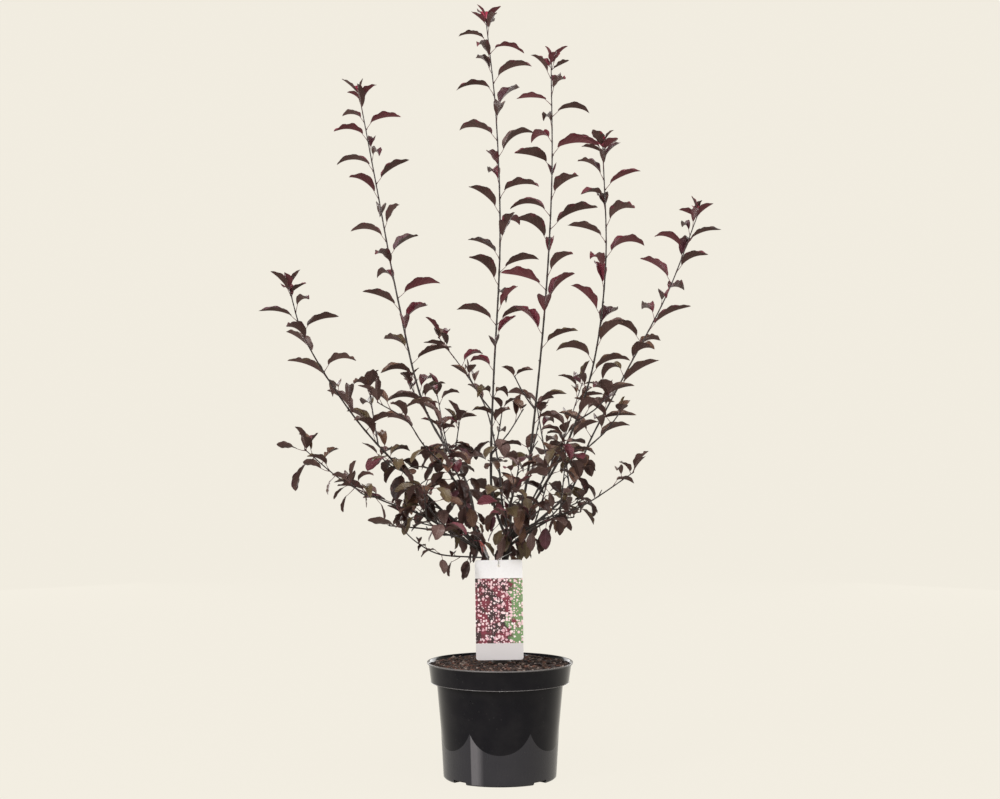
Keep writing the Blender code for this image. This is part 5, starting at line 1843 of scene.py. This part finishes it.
def make_plant():
    """The trunk, the boughs and twigs, the leaves on their stalks, and the buds."""
    tie = closed_tube(tie_path(), TIE_RADIUS, *PLAIN_TIE)
    shoots, twigs, leaves = plan_plant(tie)
    # Cherry bark: dark and smooth with a faint grey bloom, redder and glossier on young wood
    old_bark = bark_finish("grey brown cherry bark", "1F1714", "473C36", 0.6)
    young_bark = bark_finish("red brown young bark", "1F1311", "3C2A26", 0.45)
    keep_piece("trunk_bark", bark_trunk(shoots), [old_bark], ["trunk"])
    wood = Heap()
    whips = Heap()
    sprays = Heap()
    rng = random.Random(SEED * 3)
    for shoot in shoots:
        dress_shoot(shoot, twigs[shoot.name], leaves[shoot.name], wood, whips, sprays, rng)
    for arm, distance, degrees, kind in ARM_LEAVES:
        for leaf in hanging_leaves([FORK, ARMS[arm][0]], distance, 1, rng):
            leaf = leaf._replace(heading=turned(Vector((0, -1, 0)), degrees))
            if not in_card(leaf):
                add_leaf(sprays, leaf, "round", kind, rng)
    boughs = ["bough_" + shoot.name for shoot in shoots if shoot.bare]
    masses = ["leaves_" + shoot.name for shoot in shoots]
    keep_piece("boughs_and_twigs", wood.mesh("boughs_and_twigs"), [old_bark, young_bark], boughs)
    # Leathery leaves with a soft sheen where they arch: red when young, plum when grown, umber when old
    finishes = [leaf_finish(*LEAF_FINISHES[kind]) for kind in LEAF_SLOTS]
    for name, heap in (("whip_leaves", whips), ("foot_leaves", sprays)):
        for number, part in enumerate(heap.split(PIECE_TRIANGLES)):
            piece_name = f"{name}_{number + 1}"
            keep_piece(piece_name, part.mesh(piece_name), finishes, masses)


def make_studio():
    """A pale cove that is its own soft light, five softboxes and the camera."""
    flat = COVE_RADIUS - COVE_CORNER
    corner = [(flat + COVE_CORNER * math.sin(turn), COVE_CORNER - COVE_CORNER * math.cos(turn))
              for turn in [math.radians(step * 9) for step in range(1, 11)]]
    model = spun([(0, 0), (flat, 0)] + corner + [(COVE_RADIUS, COVE_HEIGHT)], 96)
    bmesh.ops.translate(model, verts=model.verts, vec=(0, 0, -COVE_DROP))
    for face in model.faces:
        face.smooth = True
    cove_mesh = mesh_of(model, "studio_cove")
    cove = bpy.data.objects.new("studio_cove", cove_mesh)
    bpy.context.scene.collection.objects.link(cove)
    # Backdrop paper: flat cream with no shine, lit from within so that it shows no seam and hardly a shadow
    paper, _, shader = plain_finish("cream studio paper", CREAM, 0.9, Specular_IOR_Level=0.0)
    paint = [value * COVE_PAINT for value in linear(CREAM)[:3]]
    shader.inputs["Base Color"].default_value = (*paint, 1.0)
    shader.inputs["Emission Color"].default_value = linear(CREAM)
    shader.inputs["Emission Strength"].default_value = COVE_GLOW
    cove_mesh.materials.append(paper)
    for name, place, size, power in SOFTBOXES:
        light = bpy.data.lights.new(name, "AREA")
        light.shape = "RECTANGLE"
        light.size, light.size_y = size
        light.energy = power
        lamp = bpy.data.objects.new(name, light)
        lamp.location = place
        lamp.visible_camera = False
        lamp.rotation_euler = (Vector(LIGHT_TARGET) - Vector(place)).to_track_quat("-Z", "Y").to_euler()
        bpy.context.scene.collection.objects.link(lamp)
    world = bpy.data.worlds.new("studio")
    world.use_nodes = True
    world.node_tree.nodes["Background"].inputs["Color"].default_value = linear(CREAM)
    world.node_tree.nodes["Background"].inputs["Strength"].default_value = SKY_GLOW
    bpy.context.scene.world = world
    bpy.context.scene.view_settings.view_transform = "Standard"
    view = bpy.data.cameras.new("camera")
    view.lens = CAMERA_LENS
    view.sensor_width = SENSOR_WIDTH
    camera = bpy.data.objects.new("camera", view)
    camera.location = CAMERA_PLACE
    camera.rotation_euler = (math.radians(90), 0, 0)
    bpy.context.scene.collection.objects.link(camera)
    bpy.context.scene.camera = camera


make_pot()
make_soil()
make_label()
make_plant()
make_studio()
